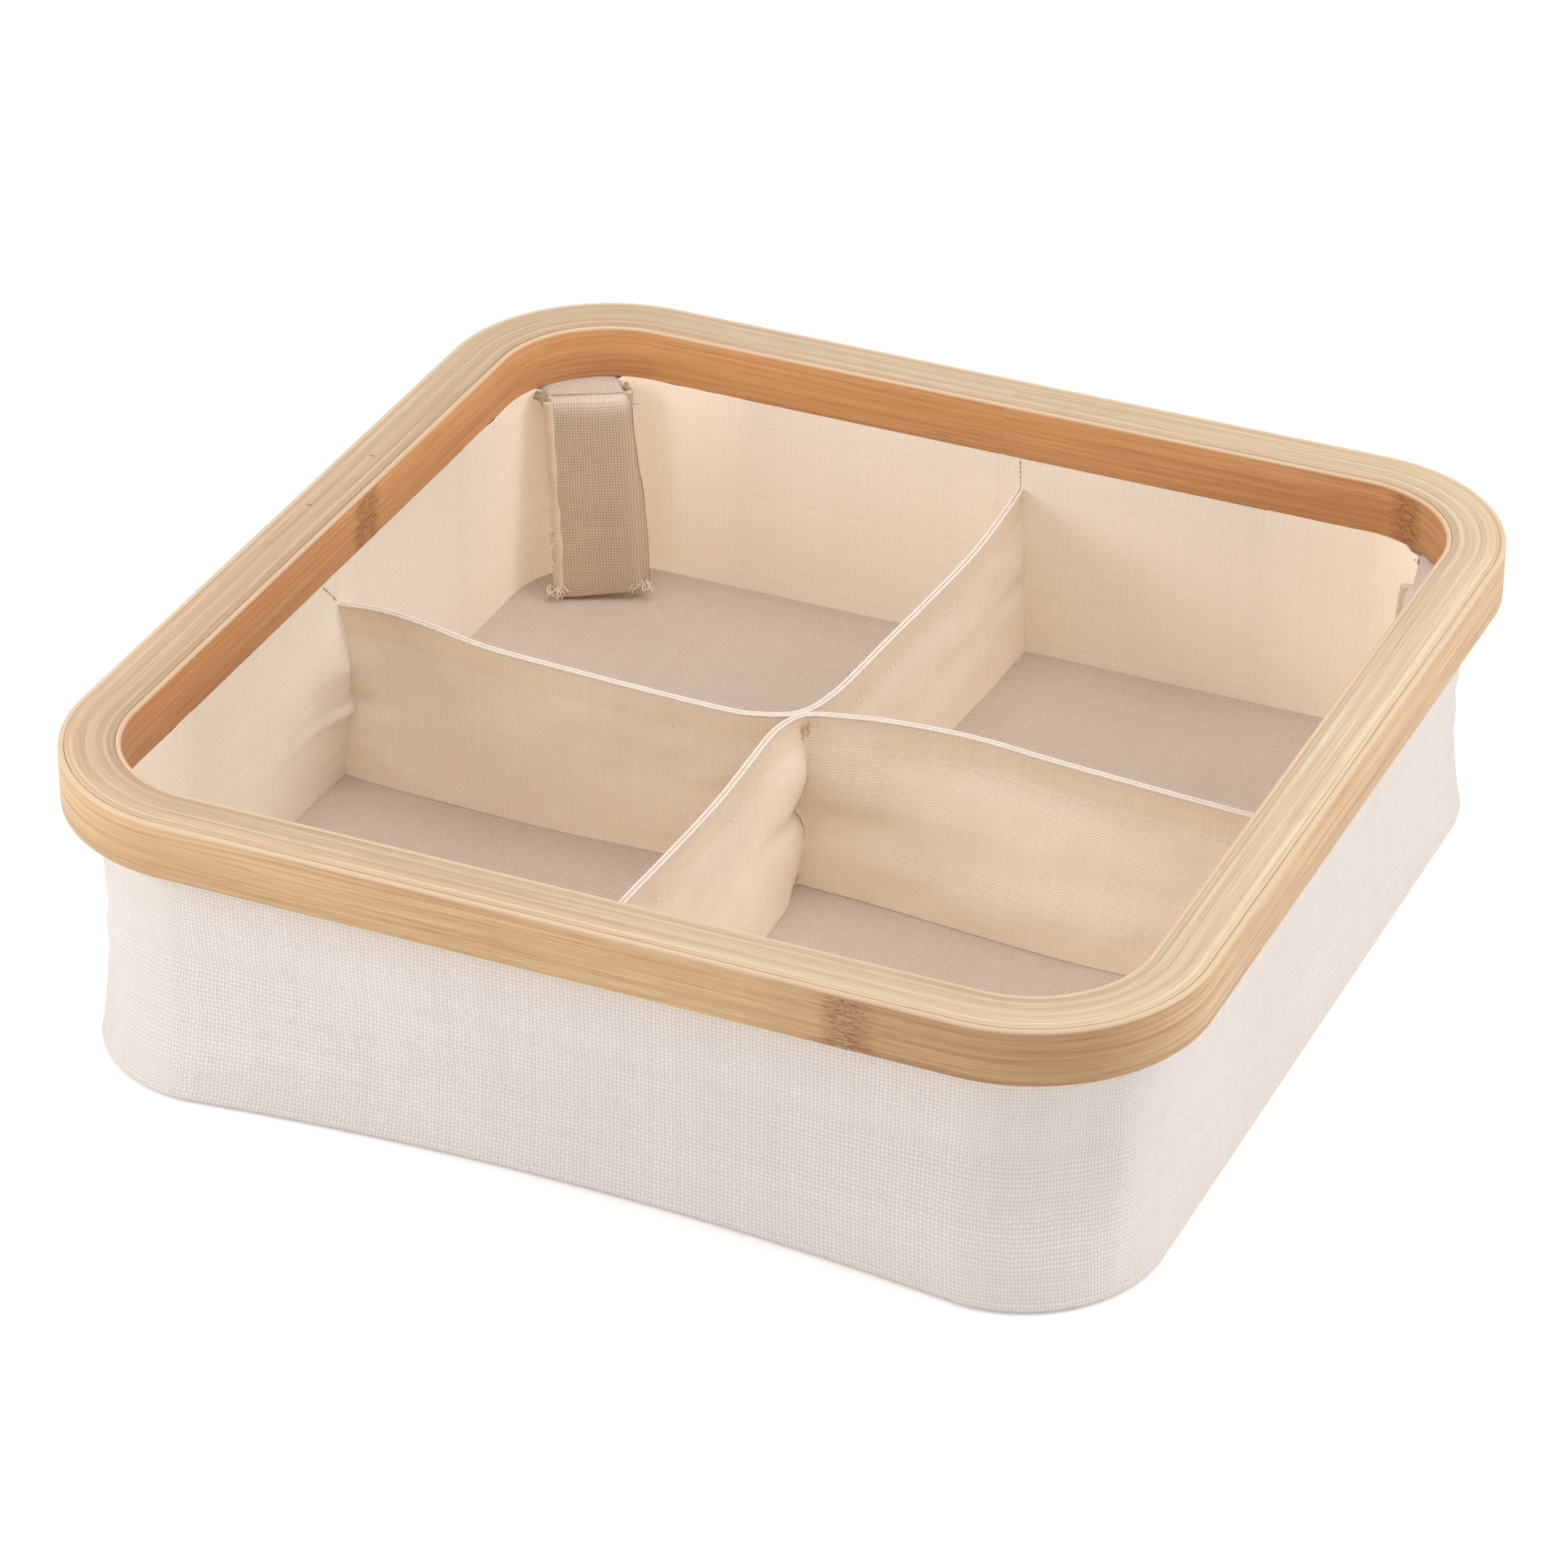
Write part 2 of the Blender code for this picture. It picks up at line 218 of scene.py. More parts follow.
class Recipe:
    """A material's nodes, added one after the other."""

    def __init__(self, name, roughness, sheen, specular):
        self.material = bpy.data.materials.new(name)
        self.material.use_nodes = True
        self.tree = self.material.node_tree
        self.inputs = self.tree.nodes["Principled BSDF"].inputs
        self.inputs["Roughness"].default_value = roughness
        self.inputs["Sheen Weight"].default_value = sheen
        self.inputs["Specular IOR Level"].default_value = specular

    def add(self, kind, values, output=0, **choices):
        return add_node(self.tree, kind, values, output, **choices)

    def math(self, *values):
        return add_math(self.tree, *values)

    def place(self, kind):
        """The place of a point on the piece's UV map, or in the piece itself as Object."""
        return self.add("ShaderNodeTexCoord", {}, kind)

    def split(self, vector):
        node = self.tree.nodes.new("ShaderNodeSeparateXYZ")
        vector.to(node.inputs[0])
        return [Wire(self.tree, output) for output in node.outputs]

    def join(self, x, y=0.0, z=0.0):
        return self.add("ShaderNodeCombineXYZ", {0: x, 1: y, 2: z})

    def noise(self, vector, scales, detail=2.0, distortion=0.0):
        """Noise with its own scale along each axis."""
        if isinstance(scales, float):
            scales = (scales, scales, scales)
        place = self.add("ShaderNodeVectorMath", {0: vector, 1: scales}, operation="MULTIPLY")
        return self.add("ShaderNodeTexNoise", {"Vector": place, "Scale": 1.0, "Detail": detail,
                                               "Distortion": distortion})

    def chance(self, number):
        """A random value that stays the same for one whole number."""
        return self.add("ShaderNodeTexWhiteNoise", {"W": number}, noise_dimensions="1D")

    def between(self, value, low, high, bottom=0.0, top=1.0):
        return self.add("ShaderNodeMapRange", {0: value, 1: low, 2: high, 3: bottom, 4: top})

    def level(self, share, first, second):
        return self.add("ShaderNodeMix", {0: share, 2: first, 3: second})

    def colour(self, share, first, second, mode="MIX"):
        values = {0: share, 6: first, 7: second}
        values = {place: (*value, 1.0) if isinstance(value, tuple) else value
                  for place, value in values.items()}
        return self.add("ShaderNodeMix", values, 2, data_type="RGBA", blend_type=mode)

    def shaded(self, colour, *shades):
        """The colour times one shade, or times its own for red, green and blue."""
        shades = shades if len(shades) == 3 else shades * 3
        return self.colour(1.0, colour, self.join(*shades), "MULTIPLY")

    def darker(self, colour, dark, parts):
        return self.shaded(colour, *(1.0 - dark * part for part in parts))

    def glow(self, strength, colour):
        strength.to(self.inputs["Emission Strength"])
        self.inputs["Emission Color"].default_value = colour

    def done(self, colour, height=None, relief=0.0001, strength=1.0, roughness=None):
        """Finishes with a colour, and a bump of the given relief in metres."""
        colour.to(self.inputs["Base Color"])
        if roughness:
            roughness.to(self.inputs["Roughness"])
        if height:
            self.add("ShaderNodeBump", {"Strength": strength, "Distance": relief,
                                        "Height": height}).to(self.inputs["Normal"])
        return self.material


def woven(name, tones, pitch, relief=0.00012, gap_share=0.9, rib=1.0, hem=None, glow=None,
          corner_glow=None, pale=None):
    """Plain weave of (yarn, gap) tones on a UV map in metres: yarns over and under by turns.

    rib below 1 lets the upright yarns stand out, hem is the height where a darker doubled band
    starts. glow is painted light: an emission that runs from its first strength at the cloth's foot
    to its second at its top, standing in for light through the thin cloth. The corner argument
    paints the same light before, in and after a corner of the box and where it is strongest. pale
    gives the heights between which the cloth is blended towards a paler tone, painted light on the
    stays' top.
    """
    yarn, gap = tones
    mix = Recipe(name, 0.85, 0.25, 0.25)
    place = mix.place("UV")
    run, rise, _ = mix.split(place)
    wander = mix.noise(place, (140.0, 140.0, 1.0), 3.0)
    shift = mix.between(wander, 0.3, 0.7, -0.175, 0.175)
    across, up = run * (1 / pitch) + shift, rise * (1 / pitch) + shift
    column, row = mix.math("FLOOR", across), mix.math("FLOOR", up)
    side = mix.math("FLOORED_MODULO", column + row, 2.0)
    warp, weft = (mix.math("ABSOLUTE", mix.math("SINE", way * math.pi)) for way in (across, up))
    over = warp * mix.between(weft, 0.0, 1.0, 0.35, 1.0)
    under = weft * mix.between(warp, 0.0, 1.0, 0.35, 1.0) * rib
    height = mix.level(side, over, under)
    luck = mix.level(side, mix.chance(column), mix.chance(row + 0.5))
    fuzz = mix.noise(place, (2600.0, 2600.0, 1.0))
    cloud = mix.noise(place, (16.0, 22.0, 1.0), 4.0)
    colour = mix.colour(mix.between(height, 0.0, 0.8) * gap_share + (1.0 - gap_share), gap, yarn)
    if hem:
        doubled = mix.between(rise, hem, hem + 0.0003)
        doubled += mix.math("COMPARE", rise, hem, 0.00022) * 0.5
        colour = mix.darker(colour, doubled, (0.03, 0.065, 0.11))
    shade = mix.between(luck, 0.0, 1.0, 0.965, 1.02) * mix.between(fuzz, 0.25, 0.75, 0.96, 1.04)
    colour = mix.shaded(colour, shade * mix.between(cloud, 0.3, 0.7, 0.97, 1.02))
    # painted light: the cloth is blended towards a paler tone between the given heights, on the
    # stays' bent-back top
    if pale:
        colour = mix.colour(mix.between(rise, *pale, 0.0, 0.42), colour, tone(250, 238, 226))
    # painted light: emission from foot to top, or round a corner, standing in for light through the
    # thin cloth
    through = None
    if glow:
        through = mix.between(rise, 0.0, DIVIDER_TOP - WALL_LOW, *glow)
    if corner_glow:
        turn = mix.math("FRACT", run / SIDE_RUN)
        before, peak, after, middle = corner_glow
        first, half = WALL_END / SIDE_RUN, 0.045
        through = mix.math("MINIMUM", mix.between(turn, first, middle - half, before, peak),
                           mix.between(turn, middle + half, 1 - first, peak, after))
    if through:
        mix.glow(through, (*tone(255, 230, 200), 1.0))
    return mix.done(colour, height + fuzz * 0.35, relief)


def bamboo(name, kind, sheet=None, marks=(), ends=(), darker_spans=()):
    """Bent bamboo: grain along the UV map's first way, its sheets by the second, nodes at marks.

    kind starts the names of its two tones. sheet is the thickness of a sheet of the core, and a ply
    without one shows the core's tone on its sawn top edge. ends are places where a sheet stops, and
    the last argument gives darker, warmer stretches as (middle, half width, how dark), which are
    painted shade where the outer ply uses them.
    """
    wood, _ = settings()
    core, node = tuple(wood.light), tuple(wood.node)
    light, dark = (tuple(getattr(wood, kind + share)) for share in ("light", "dark"))
    mix = Recipe(name, 0.42, 0.0, 0.4)
    along, out, _ = mix.split(mix.place("UV"))
    height = mix.split(mix.place("Object"))[2]
    place = mix.join(along, out, height)
    slip = (mix.noise(place, (9.0, 60.0, 60.0)) - 0.5) * 0.0016
    grain = mix.join(along, out + slip, height + slip)
    broad = mix.noise(grain, (5.0, 260.0, 260.0), 3.0)
    streak = mix.noise(grain, (16.0, 1300.0, 1300.0), 3.0)
    fibre = mix.noise(grain, (70.0, 4200.0, 4200.0))
    share = mix.between(streak, 0.36, 0.66) * 0.62 + mix.between(broad, 0.3, 0.7) * 0.38
    thin = mix.between(fibre, 0.58, 0.70, 0.0, 0.5)
    colour = mix.colour(thin, mix.colour(share, light, dark), tuple(part * 0.72 for part in dark))
    relief = 1.0 - thin * 0.9 - share * 0.4
    if sheet:
        wobble = (mix.noise(mix.join(along), 11.0) - 0.5) * 0.0009
        count = (out + wobble) / sheet
        part = mix.math("FRACT", count)
        glue = mix.between(mix.math("MINIMUM", part, 1.0 - part), 0.0, 0.07, 0.40, 0.0)
        band = mix.chance(mix.math("FLOOR", count / 3.0) + 0.3)
        lift = mix.between(mix.chance(mix.math("FLOOR", count)), 0.0, 1.0, 0.87, 1.06)
        lift *= mix.between(band, 0.0, 1.0, 0.93, 1.04)
        colour = mix.shaded(colour, lift, lift, lift * mix.between(band, 0.0, 1.0, 1.03, 0.98))
        colour = mix.colour(glue, colour, tuple(part * 0.6 for part in dark))
        relief -= glue * 1.5
        # painted light and shade: darkest at the left of the box and palest at the right
        turn = mix.math("COSINE", (along - 3 * SIDE_RUN) * (math.tau / ROUND_RUN))
        colour = mix.shaded(colour, *(turn * part + 1.0 for part in (0.075, 0.12, 0.14)))
    for stop, stop_out in ends:
        near = mix.math("COMPARE", along, stop, 0.0005) * mix.math("COMPARE", out, stop_out, 0.0008)
        colour = mix.colour(near * 0.55, colour, node)
    # darker, warmer stretches: painted shade where the outer ply uses them
    for middle, half_width, depth in darker_spans:
        away = mix.math("ABSOLUTE", along - middle)
        near = mix.between(away, half_width * 0.4, half_width, depth, 0.0)
        colour = mix.darker(colour, near, (1.0, 1.35, 1.6))
    if not sheet:
        sawn = mix.between(height, RIM_TOP - 0.0009, RIM_TOP - 0.0003, 0.0, 0.75)
        colour = mix.colour(sawn, colour, core)
    below_top = mix.between(height, RIM_TOP - 0.0016, RIM_TOP - 0.0006, 1.0, 0.0)
    for middle, half_width in marks:
        ragged = mix.noise(grain, (60.0, 1500.0, 1500.0))
        away = mix.math("ABSOLUTE", along - middle) + mix.between(ragged, 0.3, 0.7, -0.003, 0.003)
        near = mix.between(away, half_width * 0.4, half_width, 1.0, 0.0) * below_top
        short = mix.noise(place, (330.0, 2300.0, 2300.0), 3.0, 1.2)
        colour = mix.colour(near * mix.between(short, 0.40, 0.62, 0.15, 0.85), colour, node)
        knots = mix.noise(place, (900.0, 1300.0, 1300.0), 2.0, 2.0)
        pale = mix.between(away, 0.0, half_width * 0.3, 1.0, 0.0) * below_top
        colour = mix.colour(pale * mix.between(knots, 0.52, 0.66, 0.0, 0.55), colour, light)
        relief += near * short
    return mix.done(colour, relief, 0.00005, 0.8, mix.between(share, 0.0, 1.0, 0.38, 0.50))


def pressed_board(name, colour):
    """Grey board with short mixed fibres."""
    mix = Recipe(name, 0.9, 0.0, 0.2)
    place = mix.place("Object")
    flecks, cloud = mix.noise(place, 900.0, 4.0, 0.6), mix.noise(place, 60.0, 3.0)
    shade = mix.between(flecks, 0.3, 0.7, 0.82, 1.14) * mix.between(cloud, 0.3, 0.7, 0.95, 1.05)
    return mix.done(mix.shaded(colour, shade), flecks, 0.00008)


def spun_thread(name, colour, dark):
    """Sewing thread and loose yarn ends: fine twisted fibres on Object coordinates."""
    mix = Recipe(name, 0.8, 0.3, 0.2)
    twist = mix.noise(mix.place("Object"), 3800.0, 2.0, 0.8)
    return mix.done(mix.colour(mix.between(twist, 0.35, 0.65), dark, colour), twist, 0.00006)


# Shapes


def settings():
    scene = bpy.context.scene
    return scene.organizer_bamboo, scene.organizer_cloth


def cloth_tones(kind):
    """The tones of a cloth's yarn and of the gaps between its yarns."""
    _, cloth = settings()
    return tuple(getattr(cloth, kind)), tuple(getattr(cloth, kind + "_gap"))


def about_up(degrees, size=3):
    return Matrix.Rotation(math.radians(degrees), size, "Z")


def add_object(name, data):
    thing = bpy.data.objects.new(name, data)
    bpy.context.scene.collection.objects.link(thing)
    return thing


def piece_from(name, maker, material, sharp_deg=40.0):
    """A finished object at the origin from a mesh maker, sharp where a sheet ends."""
    mesh = bpy.data.meshes.new(name)
    maker.edges.index_update()
    rims = [edge.index for edge in maker.edges if edge.is_boundary]
    maker.to_mesh(mesh)
    maker.free()
    mesh.shade_smooth()
    mesh.set_sharp_from_angle(angle=math.radians(sharp_deg))
    for index in rims:
        mesh.edges[index].use_edge_sharp = True
    mesh.materials.append(material)
    return add_object(name, mesh)


def threads_from(name, paths, radius, material, swells=None):
    """Threads as one mesh, each along its own points, thicker or thinner where swells says."""
    curve = bpy.data.curves.new(name, "CURVE")
    curve.dimensions = "3D"
    curve.bevel_depth = radius
    curve.bevel_resolution = 1
    curve.use_fill_caps = True
    for path in paths:
        spline = curve.splines.new("POLY")
        spline.points.add(len(path) - 1)
        for index, (point, place) in enumerate(zip(spline.points, path)):
            point.co = (*place, 1.0)
            point.radius = swells[index] if swells else 1.0
    holder = add_object(name + "_line", curve)
    bpy.context.view_layer.update()
    graph = bpy.context.evaluated_depsgraph_get()
    mesh = bpy.data.meshes.new_from_object(holder.evaluated_get(graph))
    bpy.data.objects.remove(holder, do_unlink=True)
    bpy.data.curves.remove(curve)
    mesh.name = name
    mesh.materials.clear()
    mesh.materials.append(material)
    mesh.shade_smooth()
    return add_object(name, mesh)


def settle(piece, body, slot, *nodes):
    """Lets a piece ride on its body and hides the nodes that it stands for; slot is not used."""
    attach(piece, body)
    if nodes:
        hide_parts(*nodes)


def press_flat(piece):
    """Gives the piece its own copy of its mesh."""
    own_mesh(piece)


def dress(node, material):
    """Gives a CAD node that stays its own finish."""
    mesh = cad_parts[node].data
    mesh.materials.clear()
    mesh.materials.append(material)


def carry(maker, row, steps, run=Vector(), centre=(0.0, 0.0, 0.0), degrees=0.0):
    """Carries a row of edges along a run or round a centre, and gives its last copy."""
    return bmesh.ops.spin(maker, geom=row, cent=centre, axis=UP, dvec=run / steps,
                          angle=math.radians(degrees), steps=steps,
                          use_duplicate=False)["geom_last"]


def grid(across, up, size=0.5):
    """A flat mesh of squares round the origin, size from its middle to its sides."""
    maker = bmesh.new()
    bmesh.ops.create_grid(maker, x_segments=across, y_segments=up, size=size)
    return maker


def row_of(maker, points, closed=False):
    corners = [maker.verts.new(point) for point in points]
    pairs = list(zip(corners, corners[1:]))
    if closed:
        pairs.append((corners[-1], corners[0]))
    return corners + [maker.edges.new(pair) for pair in pairs]


def sweep_round(profile, closed, arc_steps, side_steps):
    """Carries a profile of (distance out, height) from the middle of the back round the box."""
    maker = bmesh.new()
    row = row_of(maker, [(0.0, out, height) for out, height in profile], closed)
    run, corner = Vector((-ARC_CENTRE, 0.0, 0.0)), Vector((-ARC_CENTRE, ARC_CENTRE, 0.0))
    quarter = about_up(90.0)
    for turn in range(4):
        sides = 1 if turn == 0 else 2
        row = carry(maker, row, side_steps * sides, run * sides)
        row = carry(maker, row, arc_steps, centre=corner, degrees=90.0)
        run, corner = quarter @ run, quarter @ corner
    carry(maker, row, side_steps, run)
    bmesh.ops.remove_doubles(maker, verts=maker.verts, dist=0.000002)
    bmesh.ops.recalc_face_normals(maker, faces=maker.faces)
    return maker


def place_on_round(point):
    """How far round the box a point is, how far out it is, and its outward way."""
    turns = math.floor(math.atan2(-point.x, point.y) % math.tau / (math.pi / 2))
    turns = min(turns, 3)
    back = Matrix.Rotation(-turns * math.pi / 2, 3, "Z")
    local = back @ Vector((point.x, point.y, 0.0))
    side, front = -local.x, local.y
    if side <= ARC_CENTRE and front >= side:
        run, out, way = side, front, Vector((0.0, 1.0, 0.0))
    elif front <= ARC_CENTRE:
        run = ARC_CENTRE + CORNER_RADIUS * math.pi / 2 + ARC_CENTRE - front
        out, way = side, Vector((-1.0, 0.0, 0.0))
    else:
        across, ahead = side - ARC_CENTRE, front - ARC_CENTRE
        run = ARC_CENTRE + CORNER_RADIUS * math.atan2(across, ahead)
        out = ARC_CENTRE + math.hypot(across, ahead)
        way = Vector((-across, ahead, 0.0)).normalized()
    return turns * SIDE_RUN + run, out, back.inverted() @ way


def map_round(maker, second):
    """A UV map in metres: along the box's round, and second(distance out, height)."""
    layer = maker.loops.layers.uv.new("UVMap")
    for face in maker.faces:
        found = []
        for loop in face.loops:
            run, out, _ = place_on_round(loop.vert.co)
            found.append((loop, run, second(out, loop.vert.co.z)))
        far = max(run for _, run, _ in found) > ROUND_RUN * 0.75
        for loop, run, value in found:
            if far and run < ROUND_RUN * 0.25:
                run += ROUND_RUN
            loop[layer].uv = (run, value)


def map_flat(maker, spot):
    """A UV map in metres from a function of a corner's place."""
    layer = maker.loops.layers.uv.new("UVMap")
    for face in maker.faces:
        for loop in face.loops:
            loop[layer].uv = spot(loop.vert.co)


def sharp_edges(maker, over_deg=60.0):
    limit = math.radians(over_deg)
    return [edge for edge in maker.edges
            if len(edge.link_faces) == 2 and edge.calc_face_angle() > limit]


def soften(maker, radius, segments, edges=None):
    bmesh.ops.bevel(maker, geom=edges or sharp_edges(maker), offset=radius, offset_type="OFFSET",
                    segments=segments, profile=0.5, affect="EDGES", material=-1)


def thicken(piece, thickness, offset=-1.0):
    """Gives a sheet its cloth thickness: inwards at offset -1, to both sides at 0."""
    wall = piece.modifiers.new("Cloth thickness", "SOLIDIFY")
    wall.thickness = thickness
    wall.offset = offset
    wall.use_even_offset = True


def hump(value, middle, width):
    """A soft hump, 1 at its middle."""
    return math.exp(-((value - middle) / width) ** 2)


def clamped(share):
    return min(max(share, 0.0), 1.0)


def eased(share):
    share = clamped(share)
    return share * share * (3.0 - 2.0 * share)


def crowded(share, strength):
    """Moves evenly spaced shares closer together at one half."""
    return share + strength / math.tau * math.sin(math.tau * share)


def ripple(*place):
    return noise.noise(Vector(place))


def on_profile(profile, value, ease=clamped):
    """The second number of a profile at its first, in straight steps or eased ones."""
    for (low, here), (high, there) in zip(profile, profile[1:]):
        if value <= high:
            return here + (there - here) * ease((value - low) / (high - low))
    return profile[-1][1]


def smooth_path(points, count):
    """Evenly spaced points on a smooth curve through the given plan points, and its length."""
    knots = [Vector((x, y, 0.0)) for x, y in points]
    knots = [knots[0] * 2 - knots[1], *knots, knots[-1] * 2 - knots[-2]]
    fine = []
    for before, here, there, after in zip(knots, knots[1:], knots[2:], knots[3:]):
        for step in range(12):
            part = step / 12
            fine.append(0.5 * (2 * here + (there - before) * part
                               + (2 * before - 5 * here + 4 * there - after) * part ** 2
                               + (3 * here - before - 3 * there + after) * part ** 3))
    fine.append(knots[-2])
    lengths = [0.0]
    for here, there in zip(fine, fine[1:]):
        lengths.append(lengths[-1] + (there - here).length)
    places, index = [], 0
    for step in range(count + 1):
        goal = lengths[-1] * step / count
        while index < len(fine) - 2 and lengths[index + 1] < goal:
            index += 1
        span = lengths[index + 1] - lengths[index]
        places.append(fine[index].lerp(fine[index + 1], (goal - lengths[index]) / span))
    return places, lengths[-1]


def heading(line, index):
    """The way a line of points runs at one of them."""
    return line[min(index + 1, len(line) - 1)] - line[max(index - 1, 0)]


def right_of(way):
    way = way.normalized()
    return Vector((way.y, -way.x, 0.0))


# Operators


def band(inner, outer):
    """The section of a hoop as high as the rim, from its inner foot outwards."""
    return (inner, RIM_LOW), (outer, RIM_LOW), (outer, RIM_TOP), (inner, RIM_TOP)


class ORGANIZER_OT_rim(bpy.types.Operator):
    """Build the bent rim: an outer ply, a core with the cloth's slot, and an inner ply"""

    bl_idname = "organizer.rim"
    bl_label = "Rim"

    def execute(self, context):
        wood, cloth = settings()
        core = bamboo("core bamboo", "", wood.sheet, ends=((0.24196, 0.1420), (0.27296, 0.1445)))
        # painted shade: the outer ply darker and warmer towards the front corner
        outer = bamboo("outer ply bamboo", "side_", darker_spans=((0.672, 0.062, 0.22),),
                       marks=((0.6375, 0.0075), (0.347, 0.007), (0.04, 0.008)))
        # the inner ply darker and warmer towards the back-right corner and at the left side's front
        # end
        inner = bamboo("inner ply bamboo", "inner_", marks=((0.2603, 0.0075), (0.9982, 0.0085)),
                       darker_spans=((0.975, 0.13, 0.10), (0.36, 0.11, 0.13)))
        hoops = (
            ("rim_outer_ply", band(CORE_FACE, RIM_HALF),
             wood.ply_round, outer, "rim_wood", ("outer_ply",)),
            ("rim_core", (*band(SLOT_OUTER, CORE_FACE)[:3], (INNER_FACE, RIM_TOP),
                          (INNER_FACE, SLOT_ROOF), (SLOT_OUTER, SLOT_ROOF)),
             CORE_EDGE, core, "rim_wood", ("core_hoop", "filler_strip")),
            ("rim_inner_ply", band(RIM_INNER, INNER_FACE),
             wood.inner_round, inner, "rim_wood_dark", ("inner_ply",)),
        )
        for name, profile, radius, material, slot, nodes in hoops:
            maker = sweep_round(profile, True, 28, 10)
            tops = [edge for edge in sharp_edges(maker)
                    if min(end.co.z for end in edge.verts) > RIM_TOP - 0.00001]
            soften(maker, radius, 3 if radius > LOW_EDGE else 1, tops)
            soften(maker, min(radius, LOW_EDGE), 1)
            map_round(maker, lambda out, height: out)
            settle(piece_from(name, maker, material, 50.0), "rim", slot, *nodes)
        dress("lining_hem", woven("hem weave", cloth_tones("lining"), cloth.lining_pitch))
        return {"FINISHED"}


# Soft dents in the canvas: how far round, height, how far round it reaches, up, and how deep
CANVAS_DENTS = millimetres(
    (700, 46, 11, 12, -1.6), (694, 24, 9, 14, -1.2), (716, 34, 7, 22, 0.8), (735, 22, 12, 14, -0.8),
    (425, 30, 10, 14, 0.7), (440, 46, 12, 10, -0.6), (985, 34, 12, 14, -0.7),
    (150, 30, 12, 14, -0.8))
# Heights and how far out the canvas stands there, from its foot to the rim's slot
CANVAS_REACH = millimetres(
    (0.3, 138.8), (5, 138), (12, 137.4), (22, 138), (32, 139.5), (42, 140.4), (52, 140.7),
    (61, 140.8), (64.8, 138.4), (66, 138), (80, 138))
CANVAS_SLOT, CANVAS_CORNER, CANVAS_UNDER = 0.1380, 0.037, 0.1352
# How much further the foot stands out on two sides, and how far the front draws in at its middle
FOOT_FRONT, FOOT_RIGHT, FOOT_DRAWN_IN, FOOT_RADIUS = 0.0108, 0.0050, 0.0070, 0.0018
# Heights below which its corners are wide, above which they are as tight as the slot, and below
# which it spreads to its foot
CORNER_WIDE, CORNER_TIGHT, SPREAD_START = 0.0665, 0.0605, 0.036
# Heights between which it has dents and ripples
SLACK_FOOT, SLACK_TOP = 0.001, 0.064


def canvas_place(spine, way, height, inset):
    """Where the canvas is for a point of the square of corner centres and an outward way."""
    reach = on_profile(CANVAS_REACH, height, eased)
    wider, tighter = CANVAS_CORNER - CORNER_RADIUS, CORNER_RADIUS - CANVAS_SLOT + ARC_CENTRE
    rounding = CORNER_RADIUS + wider * eased((CORNER_WIDE - height) / 0.006)
    rounding -= tighter * eased((height - CORNER_TIGHT) / 0.006)
    low = clamped((SPREAD_START - height) / 0.024)
    wide = reach + FOOT_RIGHT * low * (spine.x > 0)
    deep = reach + FOOT_FRONT * low * (spine.y < 0)
    drawn_in = FOOT_DRAWN_IN * low * max(0.0, -way.y) * (1 - (spine.x / ARC_CENTRE) ** 2)
    place = Vector((spine.x * (wide - rounding), spine.y * (deep - rounding), 0.0)) / ARC_CENTRE
    return place + UP * height + way * (rounding - inset - drawn_in * (abs(spine.x) < ARC_CENTRE))


class ORGANIZER_OT_canvas(bpy.types.Operator):
    """Build the canvas that runs from the rim's slot down to the foot, slack at mid height"""

    bl_idname = "organizer.canvas"
    bl_label = "Canvas"

    def execute(self, context):
        _, cloth = settings()
        rows, bends = 38, 5
        foot = CLEARANCE + FOOT_RADIUS
        profile = [(CANVAS_SLOT, CANVAS_TOP + (foot - CANVAS_TOP) * row / rows)
                   for row in range(rows + 1)]
        for step in range(1, bends + 1):
            angle = math.radians(90.0) * step / bends
            profile.append((CANVAS_SLOT - FOOT_RADIUS * (1 - math.cos(angle)),
                            foot - FOOT_RADIUS * math.sin(angle)))
        profile.append((CANVAS_UNDER, CLEARANCE))
        maker = sweep_round(profile, False, 24, 32)
        map_round(maker, lambda out, height: height - (CANVAS_SLOT - out))
        for corner in maker.verts:
            run, out, way = place_on_round(corner.co)
            if out < CANVAS_UNDER + 0.0001:
                continue
            height = corner.co.z
            loose = eased((SLACK_TOP - height) / 0.010) * eased((height - SLACK_FOOT) / 0.010)
            push = 0.0005 * ripple(run * 18.0, height * 26.0, 3.0)
            push += 0.00025 * ripple(run * 55.0, height * 40.0, 9.0)
            for dent_run, dent_height, across, lift, depth in CANVAS_DENTS:
                push += depth * hump(run, dent_run, across) * hump(height, dent_height, lift)
            spine = corner.co - way * (out - ARC_CENTRE)
            corner.co = canvas_place(spine, way, height, CANVAS_SLOT - out) + way * push * loose
        weave = woven("canvas weave", cloth_tones("canvas"), cloth.canvas_pitch, 0.00018, rib=0.8)
        piece = piece_from("canvas_shell", maker, weave, 70.0)
        thicken(piece, CANVAS_THICK)
        settle(piece, "base", "canvas", "canvas_sleeve")
        press_flat(piece)
        return {"FINISHED"}


